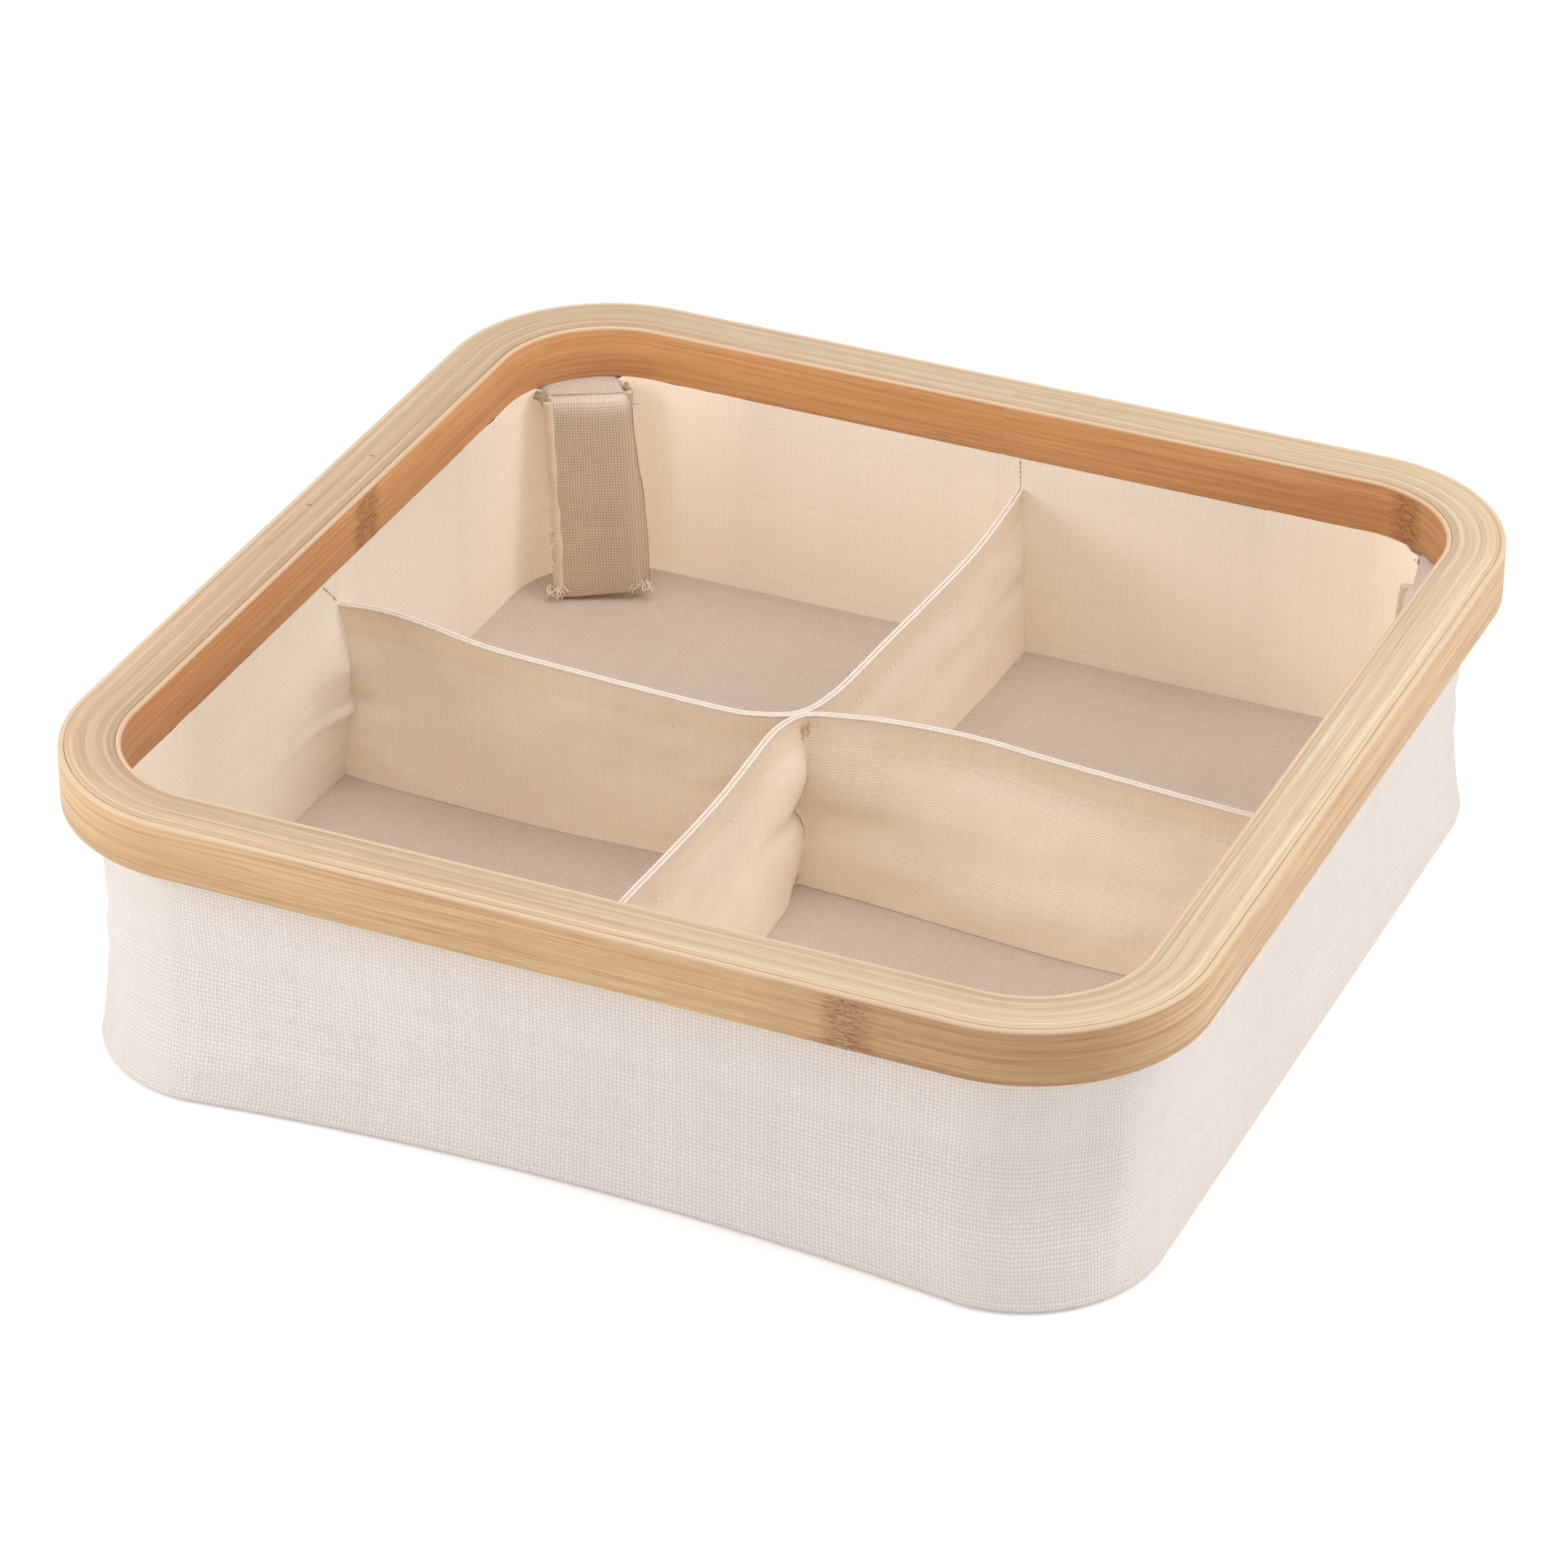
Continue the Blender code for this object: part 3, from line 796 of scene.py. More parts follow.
class ORGANIZER_OT_base(bpy.types.Operator):
    """Build the floor cloth and finish the base board and the cloth under it"""

    bl_idname = "organizer.base"
    bl_label = "Base"

    def execute(self, context):
        _, cloth = settings()
        centre = Vector((ARC_CENTRE, ARC_CENTRE))
        maker = grid(90, 90, FLOOR_HALF)
        for corner in maker.verts:
            x, y = corner.co.x, corner.co.y
            far = max(abs(x), abs(y)) / FLOOR_HALF
            edge = Vector((abs(x), abs(y))) / max(far, 0.000001)
            if min(edge) > ARC_CENTRE:
                rounded = centre + (edge - centre).normalized() * (FLOOR_HALF - ARC_CENTRE)
                x *= 1 + (rounded.x / edge.x - 1) * far ** 6
                y *= 1 + (rounded.y / edge.y - 1) * far ** 6
            lift = 0.0002 * ripple(x * 22.0, y * 22.0, 1.0) - 0.0001
            corner.co = (x, y, FLOOR_TOP + lift * eased((1.0 - far) / 0.05))
        map_flat(maker, lambda place: place.xy)
        weave = woven("floor weave", cloth_tones("floor"), cloth.floor_pitch, 0.00020)
        piece = piece_from("floor_sheet", maker, weave)
        thicken(piece, FLOOR_THICK)
        settle(piece, "base", "floor_cloth", "floor_cloth")
        dress("base_board", pressed_board("base board", tuple(cloth.board)))
        dress("base_cloth", weave)
        return {"FINISHED"}


# How far each wall's lining puffs out beside its divider's seam
WALL_PUFFS = {"front": 0.12, "right": 0.12, "back": 0.12, "left": 0.8}
# Heights and how far the lining stands in there, beside the left divider
PUFF_PROFILE = millimetres(
    (5.5, 0.9), (16.8, 2.6), (23.5, 3.4), (26.5, 6), (29.4, 4.2), (33.8, 4.9), (39.2, 5.4),
    (41.9, 4.7), (46.3, 3.3), (51.5, 1.6), (57, 0.4), (64.7, 0))
# How far the left wall's foot stands in
LEFT_FOOT_IN = 0.0013
# Painted light: emission standing in for light through the corners' cloth, in the order that runs
# round the box
BACK_PAINTED_GLOW = 0.085
CORNER_PAINTED_GLOWS = {"back_left": (BACK_PAINTED_GLOW, 0.29, 0.0, 0.44), "front_left": (0.0, 0.2, 0.0, 0.5),
                "front_right": (0.0, 0.2, 0.0, 0.5), "back_right": (0.0, 0.27, BACK_PAINTED_GLOW, 0.5)}
# How far along a corner its stay's tab reaches
TAB_SPAN = (-0.0138, 0.0102)


def wall(side, degrees, material):
    """One wall's lining and board from floor to rim, with a slight dip at its fold line."""
    maker = grid(64, 48)
    span = WALL_TOP - WALL_FOOT
    for corner in maker.verts:
        along = (crowded(corner.co.x + 0.5, 0.7) - 0.5) * 2 * WALL_START
        height = WALL_FOOT + span * crowded(corner.co.y + 0.5, 0.6)
        part = (height - WALL_FOOT) / span
        free = eased((WALL_END - abs(along)) / 0.026)
        dips = 0.00012 * hump(height, WALL_MIDDLE, 0.0010) + 0.0004 * hump(along, 0.0, 0.0011)
        belly = 0.0004 * math.sin(math.pi * part) ** 2
        belly = (belly + 0.0005 * ripple(along * 24.0, height * 24.0, degrees)) * free
        beside = hump(abs(along), 0.0030, 0.0072) + 0.22 * hump(abs(along), 0.015, 0.015)
        belly += WALL_PUFFS[side] * beside * on_profile(PUFF_PROFILE, height)
        if side == "left":
            belly += LEFT_FOOT_IN * (1 - eased((height - WALL_FOOT) / 0.045)) * free
        hold = eased((WALL_TOP - height) / 0.004)
        corner.co = (along, -WALL_INNER + belly * hold - dips, height)
    grown = bmesh.ops.extrude_face_region(maker, geom=maker.faces[:])
    for corner in grown["geom"]:
        if isinstance(corner, bmesh.types.BMVert):
            corner.co.y = -WALL_BACK
            corner.co.z = min(corner.co.z, WALL_HIGH - 0.0003)
    bmesh.ops.recalc_face_normals(maker, faces=maker.faces)
    map_flat(maker, lambda place: place.xz)
    maker.transform(about_up(degrees, 4))
    piece = piece_from("wall_" + side, maker, material)
    side + "_lower"
    side + "_upper"
    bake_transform(piece)
    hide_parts(*[side + half for half in (
        "_lower_lining", "_lower_stiffener", "_upper_lining", "_upper_stiffener")])


def corner_lining(name, degrees, material):
    """The loose lining round one corner, which makes way for the stay's tab."""
    run, count, span = ARC_CENTRE - WALL_START, 30, WALL_TOP - WALL_FOOT
    maker = bmesh.new()
    row = row_of(maker, [(WALL_START, -WALL_INNER, WALL_FOOT + span * step / count)
                         for step in range(count + 1)])
    row = carry(maker, row, 12, Vector((run, 0.0, 0.0)))
    row = carry(maker, row, 26, centre=(ARC_CENTRE, -ARC_CENTRE, 0.0), degrees=90.0)
    carry(maker, row, 12, Vector((0.0, run, 0.0)))
    bmesh.ops.recalc_face_normals(maker, faces=maker.faces)
    first = maker.faces[:][0]
    if first.normal.dot(first.calc_center_median()) > 0:
        bmesh.ops.reverse_faces(maker, faces=maker.faces)
    for spot in maker.verts:
        run_round, _, way = place_on_round(spot.co)
        beside_wall = spot.co.x if spot.co.y < -WALL_INNER + 0.001 else spot.co.y
        off_wall = max(abs(beside_wall) - WALL_START, 0.0)
        fold = eased(off_wall / 0.018) * eased((run + 0.004 - off_wall) / 0.010)
        fold *= eased((spot.co.z - WALL_FOOT) / 0.012)
        if TAB_SPAN[0] < (spot.co.x + spot.co.y) / math.sqrt(2) < TAB_SPAN[1]:
            below_tab = TAB_LOW.z + 0.0002 - WALL_FOOT
            spot.co.z = WALL_FOOT + (spot.co.z - WALL_FOOT) * below_tab / span
        wave = max(0.0, ripple(run_round * 160.0, spot.co.z * 14.0, degrees))
        spot.co -= way * fold * (0.0009 * wave + 0.0002)
    map_round(maker, lambda out, height: height)
    maker.transform(about_up(degrees - STAY_TURNS["front_right"], 4))
    piece = piece_from("corner_lining_" + name, maker, material, 70.0)
    thicken(piece, LINING_THICK)
    settle(piece, "base", "lining", "lining_corner_" + name)
    press_flat(piece)


def lining_stitches(side, degrees, material):
    """The sewn line in a wall's lining from its divider's top end up to the rim."""
    start, lean = {"left": (-0.0018, 0.0080), "back": (-0.0058, 0.0004)}.get(side, (0.0, 0.0004))
    count, rise, turn = 6, 0.0086, about_up(degrees)
    paths = [[turn @ Vector((start + lean * part, -WALL_INNER + 0.00002, DIVIDER_TOP + rise * part))
              for part in (step / count, (step + 0.72) / count)] for step in range(count)]
    piece = threads_from("lining_stitches_" + side, paths, 0.0003, material)
    settle(piece, side + "_upper", "lining")


class ORGANIZER_OT_walls(bpy.types.Operator):
    """Build the four lined walls, with a slight dip at mid height, and the lining round each corner
    """

    bl_idname = "organizer.walls"
    bl_label = "Walls"

    def execute(self, context):
        pitch = settings()[1].lining_pitch

        def weave(name, **more):
            return woven(name, cloth_tones("lining"), pitch, 0.00008, **more)

        plain = weave("lining weave")
        stitch = spun_thread("lining stitch", tone(214, 192, 166), tone(184, 158, 130))
        for side, degrees in SIDE_TURNS.items():
            lining_stitches(side, degrees, stitch)
        # painted light: the back wall's lining glows evenly
        lit = weave("back lining weave", glow=(BACK_PAINTED_GLOW, BACK_PAINTED_GLOW))
        for side, degrees in SIDE_TURNS.items():
            wall(side, degrees, lit if side == "back" else plain)
        for name, degrees in STAY_TURNS.items():
            # painted light: each corner's lining glows most in the corner, behind its stay
            corner_lining(name, degrees, weave("corner lining weave " + name,
                                               corner_glow=CORNER_PAINTED_GLOWS[name]))
        return {"FINISHED"}


# The two sewn strips that make the four dividers: nodes, and plan points of their top and foot
STRIPS = {
    "left_back": (
        ("divider_left", "divider_back"),
        millimetres(
            (-134, 1.8), (-121.7, 3), (-108, 1.2), (-88, -3), (-64, -4.6), (-40.4, -5.7),
            (-17.2, -6.2), (-9, -4.5), (-3.6, -2.3), (-0.5, 0.5), (1.7, 5), (2.9, 10.5), (4, 19),
            (5.4, 46.2), (6.6, 66), (7.8, 95), (6.8, 120), (5.8, 133.9)),
        millimetres(
            (-133.9, -0.6), (-113.6, -2.1), (-88, -2.9), (-65.5, -3), (-38, -1.8), (-18, -1.2),
            (-8, -1), (-3.4, -0.6), (-0.6, 0.6), (0.6, 3.4), (1.2, 10), (2, 27), (4.2, 54),
            (5.8, 88), (7, 111), (7.6, 133.9))),
    "front_right": (
        ("divider_front", "divider_right"),
        millimetres(
            (-2.4, -133.9), (-3.6, -110), (-3.4, -95), (-2.6, -77.2), (-1.8, -50.4), (-2.4, -29.3),
            (-3, -15), (-2.6, -8.5), (-1.2, -3.4), (0.5, -0.5), (4, 1.4), (10.4, 3.1), (22.6, 5.7),
            (44.4, 7), (67.6, 4.7), (90.2, 2.8), (112.4, 1.2), (133.9, 0)),
        millimetres(
            (0, -133.9), (0.5, -107), (1.4, -80), (2.4, -54), (2, -28), (1.6, -14), (0.8, -6),
            (0.2, -2), (1, -0.3), (3, -0.2), (6.5, -0.7), (14, -1.5), (27, -2.6), (50.4, -4.7),
            (80, -6.7), (107, -5.6), (133.9, -3))),
}
STRIP_FOOT, STRIP_TOP = WALL_LOW - 0.0003, DIVIDER_TOP - 0.0005
STRIP_HEIGHT = STRIP_TOP - STRIP_FOOT
# How high the hem at the top of a strip is, and the height where the strip folds
HEM, STRIP_FOLD = 0.0085, 0.0281
# Heights and how far the dividers' shared seam stands to the right there, and which way that is
SEAM_PROFILE = millimetres(
    (5, -2.4), (10, -1.2), (16.5, -0.1), (22, 0), (25.6, -1.2), (28, -3.2), (31.4, -1.2),
    (37.5, 0.2), (43, 0.3), (50, -0.4), (56, 0))
SEAM_WAY = Vector((0.9, 0.4, 0.0))
# Heights of the two ends of the line sewn down a strip's corner, and where its tack starts
CREASE_LOW, CREASE_HIGH, TACK_LOW = 0.0062, 0.0482, 0.0470


def strip(name, nodes, top, foot, length, material):
    """One strip of cloth, bent at the middle of the box, from wall to wall."""
    steps = len(top) - 1
    maker = grid(steps, 34)
    map_flat(maker, lambda place: ((place.x + 0.5) * length, (place.y + 0.5) * STRIP_HEIGHT))
    for corner in maker.verts:
        index = round((corner.co.x + 0.5) * steps)
        along, up = index / steps, corner.co.y + 0.5
        height = STRIP_FOOT + STRIP_HEIGHT * up
        from_middle = abs(along - 0.5) * length
        from_wall = min(along, 1 - along) * length
        lift = eased(up) ** (1.0 + 5.0 * hump(from_middle, 0.0, 0.014))
        here = foot[index].lerp(top[index], lift)
        aside = right_of(heading(foot, index).lerp(heading(top, index), lift))
        free = eased(up / 0.15) * eased((1 - up) / 0.2)
        fold = hump(height, STRIP_FOLD, 0.0030)
        lobe = hump(height, 0.040, 0.0075) + 0.7 * hump(height, 0.0180, 0.005)
        push = (0.0009 * lobe - 0.0013 * fold) * hump(from_middle, 0.006, 0.016)
        push += (0.0011 * lobe - 0.0016 * fold) * hump(from_wall, 0.0, 0.014)
        if name == "front_right" and along > 0.5:
            push -= 0.0012 * hump(height, 0.0245, 0.006) * hump(from_middle, 0.016, 0.040)
        push += 0.0010 * ripple(along * 9.0, up * 2.6, 5.0) * free
        push += 0.0004 * ripple(along * 26.0, up * 6.0, 7.0) * free
        push *= 0.3 + 0.7 * eased(from_wall / 0.004)
        pucker = on_profile(SEAM_PROFILE, height) * hump(here.length, 0.0, 0.009)
        corner.co = here + aside * push + UP * height + SEAM_WAY * pucker
    piece = piece_from("divider_strip_" + name, maker, material, 70.0)
    thicken(piece, DIVIDER_THICK, 0.0)
    hold_strip(piece, *nodes)


def hold_strip(piece, *nodes):
    settle(piece, "base", "divider_cloth", *nodes)
    press_flat(piece)


def strip_crease(top, foot):
    """The sewn line down the strip's own corner, and the tack that closes it at the top."""
    middle = len(top) // 2

    def inwards(line, reach):
        return ((line[middle - reach] + line[middle + reach]) / 2 - line[middle]).normalized()

    line = []
    for step in range(29):
        height = CREASE_LOW + (CREASE_HIGH - CREASE_LOW) * step / 28
        lift = eased((height - STRIP_FOOT) / STRIP_HEIGHT) ** 6
        line.append(foot[middle].lerp(top[middle], lift) + inwards(foot, 12) * 0.00085
                    + SEAM_WAY * on_profile(SEAM_PROFILE, height) + UP * height)
    inward = inwards(top, 6)
    tacks = [[top[middle] + inward * 0.0011 + UP * (TACK_LOW + 0.0008 * step)
              + right_of(inward) * (away + 0.0004 * math.sin(step * 2.3 + away * 900))
              for step in range(9)] for away in (-0.0007, 0.0006)]
    return [line, *tacks]


def strip_edges(top):
    """Two rolled edges side by side on the top of a strip."""
    return [[top[index] + right_of(heading(top, index)) * away + UP * (DIVIDER_TOP - 0.00035)
             for index in range(0, len(top), 2)] for away in (-0.00060, 0.00060)]


def strip_seam(top, foot):
    """The row of stitches that holds the hem, on both faces."""
    up = (STRIP_HEIGHT - HEM) / STRIP_HEIGHT
    return [[foot[place].lerp(top[place], eased(up)) + right_of(heading(top, place)) * away
             + UP * (STRIP_FOOT + STRIP_HEIGHT * up) for place in (index, index + 1)]
            for index in range(3, len(top) - 4, 2) for away in (-0.00072, 0.00072)]


class ORGANIZER_OT_dividers(bpy.types.Operator):
    """Build the dividers: two folded strips that meet back to back in the middle"""

    bl_idname = "organizer.dividers"
    bl_label = "Dividers"

    def execute(self, context):
        _, cloth = settings()
        yarn, gap = tones = cloth_tones("divider")
        # painted light: the divider cloth glows, most at its foot and faintly at its top
        weave = woven("divider weave", tones, cloth.lining_pitch, 0.0001, glow=(0.10, 0.01),
                      hem=DIVIDER_TOP - STRIP_FOOT - HEM)
        piping = spun_thread("divider piping", tuple(cloth.piping), yarn)
        thread = spun_thread("sewing thread", yarn, gap)
        # a sewn line down the crease, tinted darker and more orange than the cloth: partly the
        # thread, partly painted shade in the crease
        crease = spun_thread("crease thread", tone(228, 196, 160), tone(204, 168, 130))
        for name, (nodes, top_plan, foot_plan) in STRIPS.items():
            (top, length), (foot, _) = (smooth_path(plan, 220) for plan in (top_plan, foot_plan))
            strip(name, nodes, top, foot, length, weave)
            for kind, paths, radius, material in (
                    ("crease", strip_crease(top, foot), 0.00020, crease),
                    ("piping", strip_edges(top), 0.00040, piping),
                    ("stitches", strip_seam(top, foot), 0.00013, thread)):
                hold_strip(threads_from("divider_" + kind + "_" + name, paths, radius, material))
        return {"FINISHED"}


STAY_HINGE_OUT = 0.17279
STAY_HINGE_UP = (TAB_LOW.z + TAB_HIGH.z) / 2
STAY_LEAN = math.radians(7.2)
# How each stay hangs, by its turn round the box: its own turn and its shift, askew at the back
STAY_HANGS = {45.0: (0.0, Vector()),
              135.0: (math.radians(-29.0), Vector((-0.0096, 0.0032, -0.0056))),
              225.0: (math.radians(-21.0), Vector((-0.0035, 0.0046, 0.0))),
              315.0: (0.0, Vector())}
STAY_HALF, STAY_THICK, STAY_LENGTH = 0.0129, 0.0042, 0.0592
# The twisted folds at the two ends of a stay's tab
TAB_FOLDS = tuple(millimetres(*fold) for fold in (
    ((10.4, 3, -2.2), (10.6, 1.2, -0.8), (9.8, -0.6, -0.2), (11, -2.2, -0.1)),
    ((7.8, 3.4, -1.8), (9.2, 1.8, -0.8), (11, 0.2, -0.4), (12.4, -0.6, -0.3)),
    ((-13.4, 7.2, -1.8), (-14, 5, -0.6), (-13.4, 3, -0.2), (-14.2, 1.4, -0.1))))


def hinge_place(degrees):
    """From a stay's hinge, with -Y outwards, to the box's own frame."""
    return about_up(degrees, 4) @ Matrix.Translation((0.0, -STAY_HINGE_OUT, STAY_HINGE_UP))


def stay_place(degrees):
    """From a stay's own frame to the box's: it leans, and hangs as its hang says."""
    twist, shift = STAY_HANGS[degrees]
    return (hinge_place(degrees) @ Matrix.Rotation(STAY_LEAN, 4, "X")
            @ Matrix.Translation(shift) @ Matrix.Rotation(twist, 4, "Z")
            @ Matrix.Scale(1 + shift.z / STAY_LENGTH, 4, UP))


def sleeve(degrees):
    """The cloth round a stay's board, soft at one side and with its top edge bent back."""
    maker = bmesh.new()
    bmesh.ops.create_cube(maker, size=1.0)
    bmesh.ops.subdivide_edges(maker, edges=maker.edges[:], cuts=17, use_grid_fill=True)
    for corner in maker.verts:
        across, deep = corner.co.x * 2, corner.co.y + 0.5
        down = (0.5 - corner.co.z) ** 1.6
        taper = 0.0026 * max(-across, 0.0) * (1 - eased(down / 0.75))
        x, z = across * (STAY_HALF - taper), -0.0002 - down * (STAY_LENGTH - 0.0008)
        crown = (1 - across ** 4) * 0.0005
        soft = eased((-across - 0.55) / 0.45) ** 2
        y = deep * (STAY_THICK - 0.0009 * (1 - down)) + crown * (deep - 0.2)
        y = y * (1 - 0.62 * soft) + 0.0012 * soft * (1 - deep)
        bend = max(0.0, 1 - down * STAY_LENGTH / 0.0042)
        y -= 0.0030 * deep * (1 - math.sqrt(max(0.0, 1 - bend * bend)))
        y += 0.0005 * ripple(x * 90.0, z * 60.0, degrees) * deep
        x += 0.0004 * ripple(z * 120.0, degrees, 2.0) * abs(across)
        corner.co = (x, y, z - 0.0006 * across * eased(down))
    soften(maker, 0.0003, 2, sharp_edges(maker, 50.0))
    map_flat(maker, lambda place: (place.x, place.z + place.y * 0.7))
    maker.transform(stay_place(degrees))
    return maker


def rolled_edge(degrees):
    """The sewn edge down one side, rolled and a little wavy, thicker where it comes undone."""
    line, swells = [], []
    for step in range(31):
        part = step / 30
        z = -0.0012 - part * (STAY_LENGTH - 0.0030)
        x = STAY_HALF - 0.0003 + 0.0003 * ripple(z * 90.0, degrees, 4.0) - 0.0003 * part
        y = 0.0030 + 0.0003 * ripple(z * 110.0, degrees, 8.0)
        line.append(stay_place(degrees) @ Vector((x, y, z)))
        swells.append(0.0016 + 0.0003 * eased((part - 0.5) / 0.3)
                      + 0.0002 * ripple(part * 11.0, degrees, 1.0))
    return line, swells


def tab(degrees):
    """The strip of cloth from the stay's top back to under the rim, gathered at its ends."""
    twist, shift = STAY_HANGS[degrees]
    maker = grid(34, 14)
    map_flat(maker, lambda place: (place.x * 0.027, place.y * 0.014))
    for corner in maker.verts:
        across, back = corner.co.x * 2, corner.co.y + 0.5
        slack = math.sin(math.pi * back)
        x = 0.55 * shift.x + across * 0.0126
        front = shift.y + 0.0016 + (x - shift.x) * math.tan(twist)
        pinch = eased((abs(across) - 0.74) / 0.22)
        z = (shift.z - 0.0021) * (1 - back) ** 2 + 0.0002 * back - 0.0003 * pinch
        z += (0.00025 * ripple(x * 220.0, back * 5.0, degrees) - 0.0008 * pinch) * slack
        x -= math.copysign(0.0010, across) * pinch * slack
        corner.co = (x, front + (-0.0052 - front) * back, z)
    maker.transform(hinge_place(degrees))
    return maker


def tab_folds(degrees):
    """The twisted folds where the tab's two ends are pulled under the rim."""
    _, shift = STAY_HANGS[degrees]
    reach = (shift.y + 0.0014) / 0.0060
    aside = 0.55 * min(0.0, shift.x + 0.0035)
    slant = 1.8 * aside
    return [[hinge_place(degrees) @ Vector((x + aside, y * reach + math.copysign(slant, -x), z))
             for x, y, z in fold] for fold in TAB_FOLDS]


def frays(degrees):
    """Loose yarn ends along the seam's lower part and in a tuft at each lower corner."""
    chance = random.Random(int(degrees))
    low = -STAY_LENGTH + 0.0010
    spots = [(STAY_HALF + 0.0006, -0.0345 - 0.0013 * k, 1, 0.0024) for k in range(13)]
    spots += [(STAY_HALF - 0.0012 + 0.0003 * k, low + 0.0030 - 0.0002 * (k % 5), 1, 0.0042)
              for k in range(14)]
    spots += [(-STAY_HALF - 0.0002 + 0.0004 * k, low + 0.0022 + 0.0003 * (k % 4), -1, 0.0032)
              for k in range(12)]
    paths = []
    for x, z, side, length in spots:
        start = Vector((x, 0.0036 if side > 0 else 0.0030, z))
        way = Vector((-side * chance.uniform(-0.5, 1.0), chance.uniform(0.1, 0.7),
                      chance.uniform(-1.0, -0.1))).normalized()
        aside = Vector((chance.uniform(-1, 1), chance.uniform(0.0, 0.6),
                        chance.uniform(-0.6, 0.6))).normalized()
        turns = chance.uniform(2.2, 4.2)
        reach = length * chance.uniform(0.7, 1.15)
        line = []
        for step in range(8):
            part = step / 7
            spot = start + way * reach * part + aside * 0.0007 * math.sin(turns * part)
            spot.z = max(spot.z, low - 0.0006)
            line.append(stay_place(degrees) @ spot)
        paths.append(line)
    return paths


class ORGANIZER_OT_stays(bpy.types.Operator):
    """Build the four cloth-covered stays in the corners, with their tabs and loose threads"""

    bl_idname = "organizer.stays"
    bl_label = "Stays"

    def execute(self, context):
        pitch = settings()[1].stay_pitch
        # painted light: the stay cloth is blended paler near its bent-back top
        weave = woven("stay weave", cloth_tones("stay"), pitch, 0.00014, 0.95,
                      pale=(-0.0050, 0.0020))
        # painted light: the tab is a paler copy of the stay cloth, for the light that falls on it
        pale = woven("tab weave", (tone(242, 228, 214), tone(186, 162, 142)), pitch, 0.00016, 0.95)
        edge = spun_thread("rolled edge", tone(238, 220, 196), tone(212, 190, 162))
        # painted shade: the twisted folds get a darker copy of the stay cloth's tones, for the
        # shade in the gathered cloth
        fold_with_painted_shade = spun_thread("twisted folds", tone(196, 174, 152), tone(146, 120, 100))
        fray = spun_thread("loose yarn", tone(242, 233, 220), tone(214, 196, 174))
        for name, degrees in STAY_TURNS.items():
            stay = "stay_" + name
            piece = piece_from("stay_cover_" + name, sleeve(degrees), weave, 80.0)
            settle(piece, stay, "stay_cloth", "stay_sleeve_" + name, "stay_core_" + name)
            line, swells = rolled_edge(degrees)
            piece = threads_from("stay_seam_" + name, [line], 1.0, edge, swells)
            settle(piece, stay, "stay_cloth")
            piece = piece_from("stay_tab_cover_" + name, tab(degrees), pale, 80.0)
            thicken(piece, TAB_THICK)
            settle(piece, "rim", "stay_cloth", "stay_tab_" + name)
            piece = threads_from("stay_knots_" + name, tab_folds(degrees), 0.0008, fold_with_painted_shade,
                                 (0.6, 1.0, 1.1, 0.8))
            settle(piece, "rim", "stay_cloth")
            piece = threads_from("stay_frays_" + name, frays(degrees), 0.00019, fray)
            settle(piece, stay, "stay_cloth")
        return {"FINISHED"}


class StageSettings(bpy.types.PropertyGroup):
    """Light and camera."""

    sky: number_setting("Room light", "Strength of the even light", 0.665)
    key: number_setting("Left light", "Power of the soft lamp at the left", 1.6, unit="POWER")
    side: number_setting("Right light", "Power of the soft lamp at the right", 3.2, unit="POWER")
    top: number_setting("Top light", "Power of the large lamp overhead", 8.4, unit="POWER")
    azimuth: angle_setting("Azimuth", "Camera's turn from the front", 23.7627)
    elevation: angle_setting("Elevation", "Camera's height as an angle", 31.2928)
    lens: number_setting("Lens", "Focal length on a 36 mm sensor", 142.66, 1.0,
                         subtype="DISTANCE_CAMERA")


CAMERA_ROLL = math.radians(0.3225)
# How far the camera is right of, above and back from the middle of the rim's top, as it looks
CAMERA_SHIFT = Vector((-0.00477, -0.03873, 1.57278))
# Name, its setting, size, place and what it shines on
LAMPS = (("left lamp", "key", 0.4, (-0.52, -0.46, 0.34), (-0.10, -0.10, 0.04)),
         ("right lamp", "side", 0.6, (0.85, 0.25, 0.60), (0.10, 0.0, 0.04)),
         ("top lamp", "top", 1.2, (0.1, 0.0, 1.6), (0.0, 0.0, 0.04)))


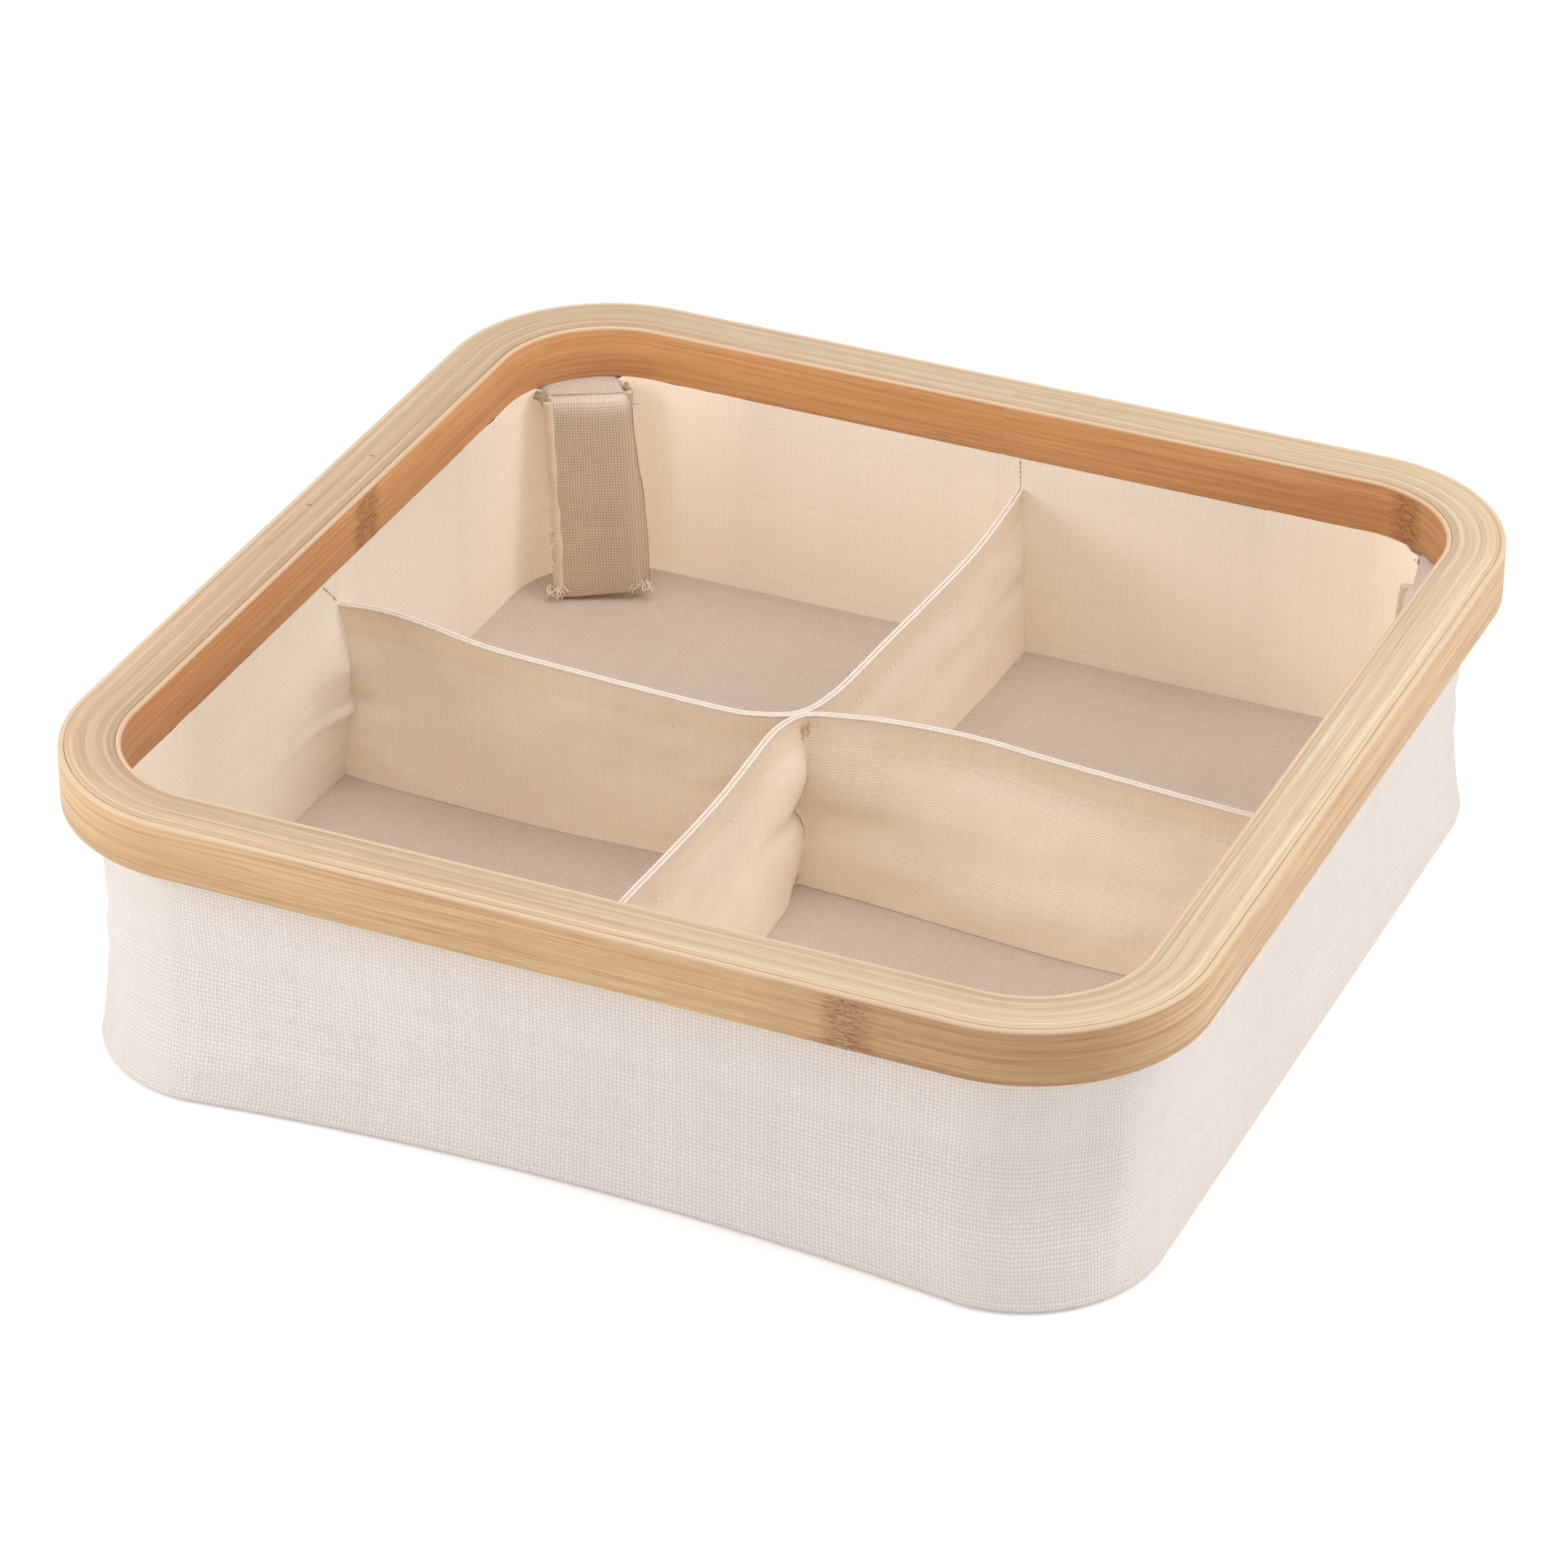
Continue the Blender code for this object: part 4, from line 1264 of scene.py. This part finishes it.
class ORGANIZER_OT_stage(bpy.types.Operator):
    """Build the floor, the soft light and the camera"""

    bl_idname = "organizer.stage"
    bl_label = "Stage"

    def camera(self, scene, stage):
        data = bpy.data.cameras.new("photo camera")
        data.lens = stage.lens
        data.sensor_width = 36.0
        data.clip_start = 0.05
        scene.camera = add_object("photo camera", data)
        turn = (Matrix.Rotation(stage.azimuth, 4, "Z")
                @ Matrix.Rotation(math.pi / 2 - stage.elevation, 4, "X")
                @ Matrix.Rotation(CAMERA_ROLL, 4, "Z"))
        scene.camera.matrix_world = (Matrix.Translation(UP * RIM_TOP) @ turn
                                     @ Matrix.Translation(CAMERA_SHIFT))

    def room(self, scene, stage):
        """Even light, and plain white wherever the camera looks past the floor."""
        world = bpy.data.worlds.new("soft room")
        world.use_nodes = True
        tree = world.node_tree
        tree.nodes.remove(tree.nodes["Background"])
        light, white = (add_node(tree, "ShaderNodeBackground", {"Color": WHITE, "Strength": power})
                        for power in (stage.sky, 1.0))
        camera, glossy, through = (add_node(tree, "ShaderNodeLightPath", {}, "Is %s Ray" % ray)
                                   for ray in ("Camera", "Glossy", "Transmission"))
        seen = add_math(tree, "MAXIMUM", camera, add_math(tree, "MAXIMUM", glossy, through))
        pick = add_node(tree, "ShaderNodeMixShader", {0: seen, 1: light, 2: white})
        pick.to(tree.nodes["World Output"].inputs["Surface"])
        scene.world = world

    def floor(self):
        maker = grid(12, 12, 4.0)
        bmesh.ops.translate(maker, vec=(0.0, 0.0, -0.0001), verts=maker.verts)
        mix = Recipe("pale floor", 0.9, 0.0, 0.1)
        cloud = mix.between(mix.noise(mix.place("Object"), 3.0), 0.3, 0.7)
        mix.glow(mix.add("ShaderNodeLightPath", {}) * 0.26, WHITE)
        material = mix.done(mix.colour(cloud, (0.88, 0.88, 0.88), (0.89, 0.89, 0.885)))
        piece_from("pale_floor", maker, material)

    def execute(self, context):
        scene = context.scene
        stage = scene.organizer_stage
        self.camera(scene, stage)
        self.room(scene, stage)
        self.floor()
        for name, setting, size, place, goal in LAMPS:
            data = bpy.data.lights.new(name, "AREA")
            data.energy = getattr(stage, setting)
            data.shape = "DISK"
            data.size = size
            turn = (Vector(place) - Vector(goal)).to_track_quat("Z", "Y").to_matrix().to_4x4()
            add_object(name, data).matrix_world = Matrix.Translation(place) @ turn
        scene.view_settings.view_transform = "Standard"
        return {"FINISHED"}


PIECE_OPERATORS = (ORGANIZER_OT_rim, ORGANIZER_OT_canvas, ORGANIZER_OT_base, ORGANIZER_OT_walls,
                   ORGANIZER_OT_dividers, ORGANIZER_OT_stays, ORGANIZER_OT_stage)
SETTING_GROUPS = {"organizer_bamboo": BambooSettings, "organizer_cloth": ClothSettings,
                  "organizer_stage": StageSettings}


class ORGANIZER_PT_pieces(bpy.types.Panel):
    """Lists the pieces of the organizer and their settings"""

    bl_label = "Organizer"
    bl_idname = "ORGANIZER_PT_pieces"
    bl_space_type = "VIEW_3D"
    bl_region_type = "UI"
    bl_category = "Organizer"

    def draw(self, context):
        for operator in PIECE_OPERATORS:
            self.layout.operator(operator.bl_idname)
        for group_name in SETTING_GROUPS:
            group = getattr(context.scene, group_name)
            for name in group.bl_rna.properties.keys():
                if name not in ("rna_type", "name"):
                    self.layout.prop(group, name)


CLASSES = (*SETTING_GROUPS.values(), *PIECE_OPERATORS, ORGANIZER_PT_pieces)


def register():
    for kind in CLASSES:
        bpy.utils.register_class(kind)
    for name, group in SETTING_GROUPS.items():
        setattr(bpy.types.Scene, name, bpy.props.PointerProperty(type=group))


def unregister():
    for name in SETTING_GROUPS:
        delattr(bpy.types.Scene, name)
    for kind in reversed(CLASSES):
        bpy.utils.unregister_class(kind)


def main():
    register()
    for step in (bpy.ops.organizer.rim, bpy.ops.organizer.canvas, bpy.ops.organizer.base,
                 bpy.ops.organizer.walls, bpy.ops.organizer.dividers, bpy.ops.organizer.stays,
                 bpy.ops.organizer.stage):
        step()


if __name__ == "__main__":
    main()
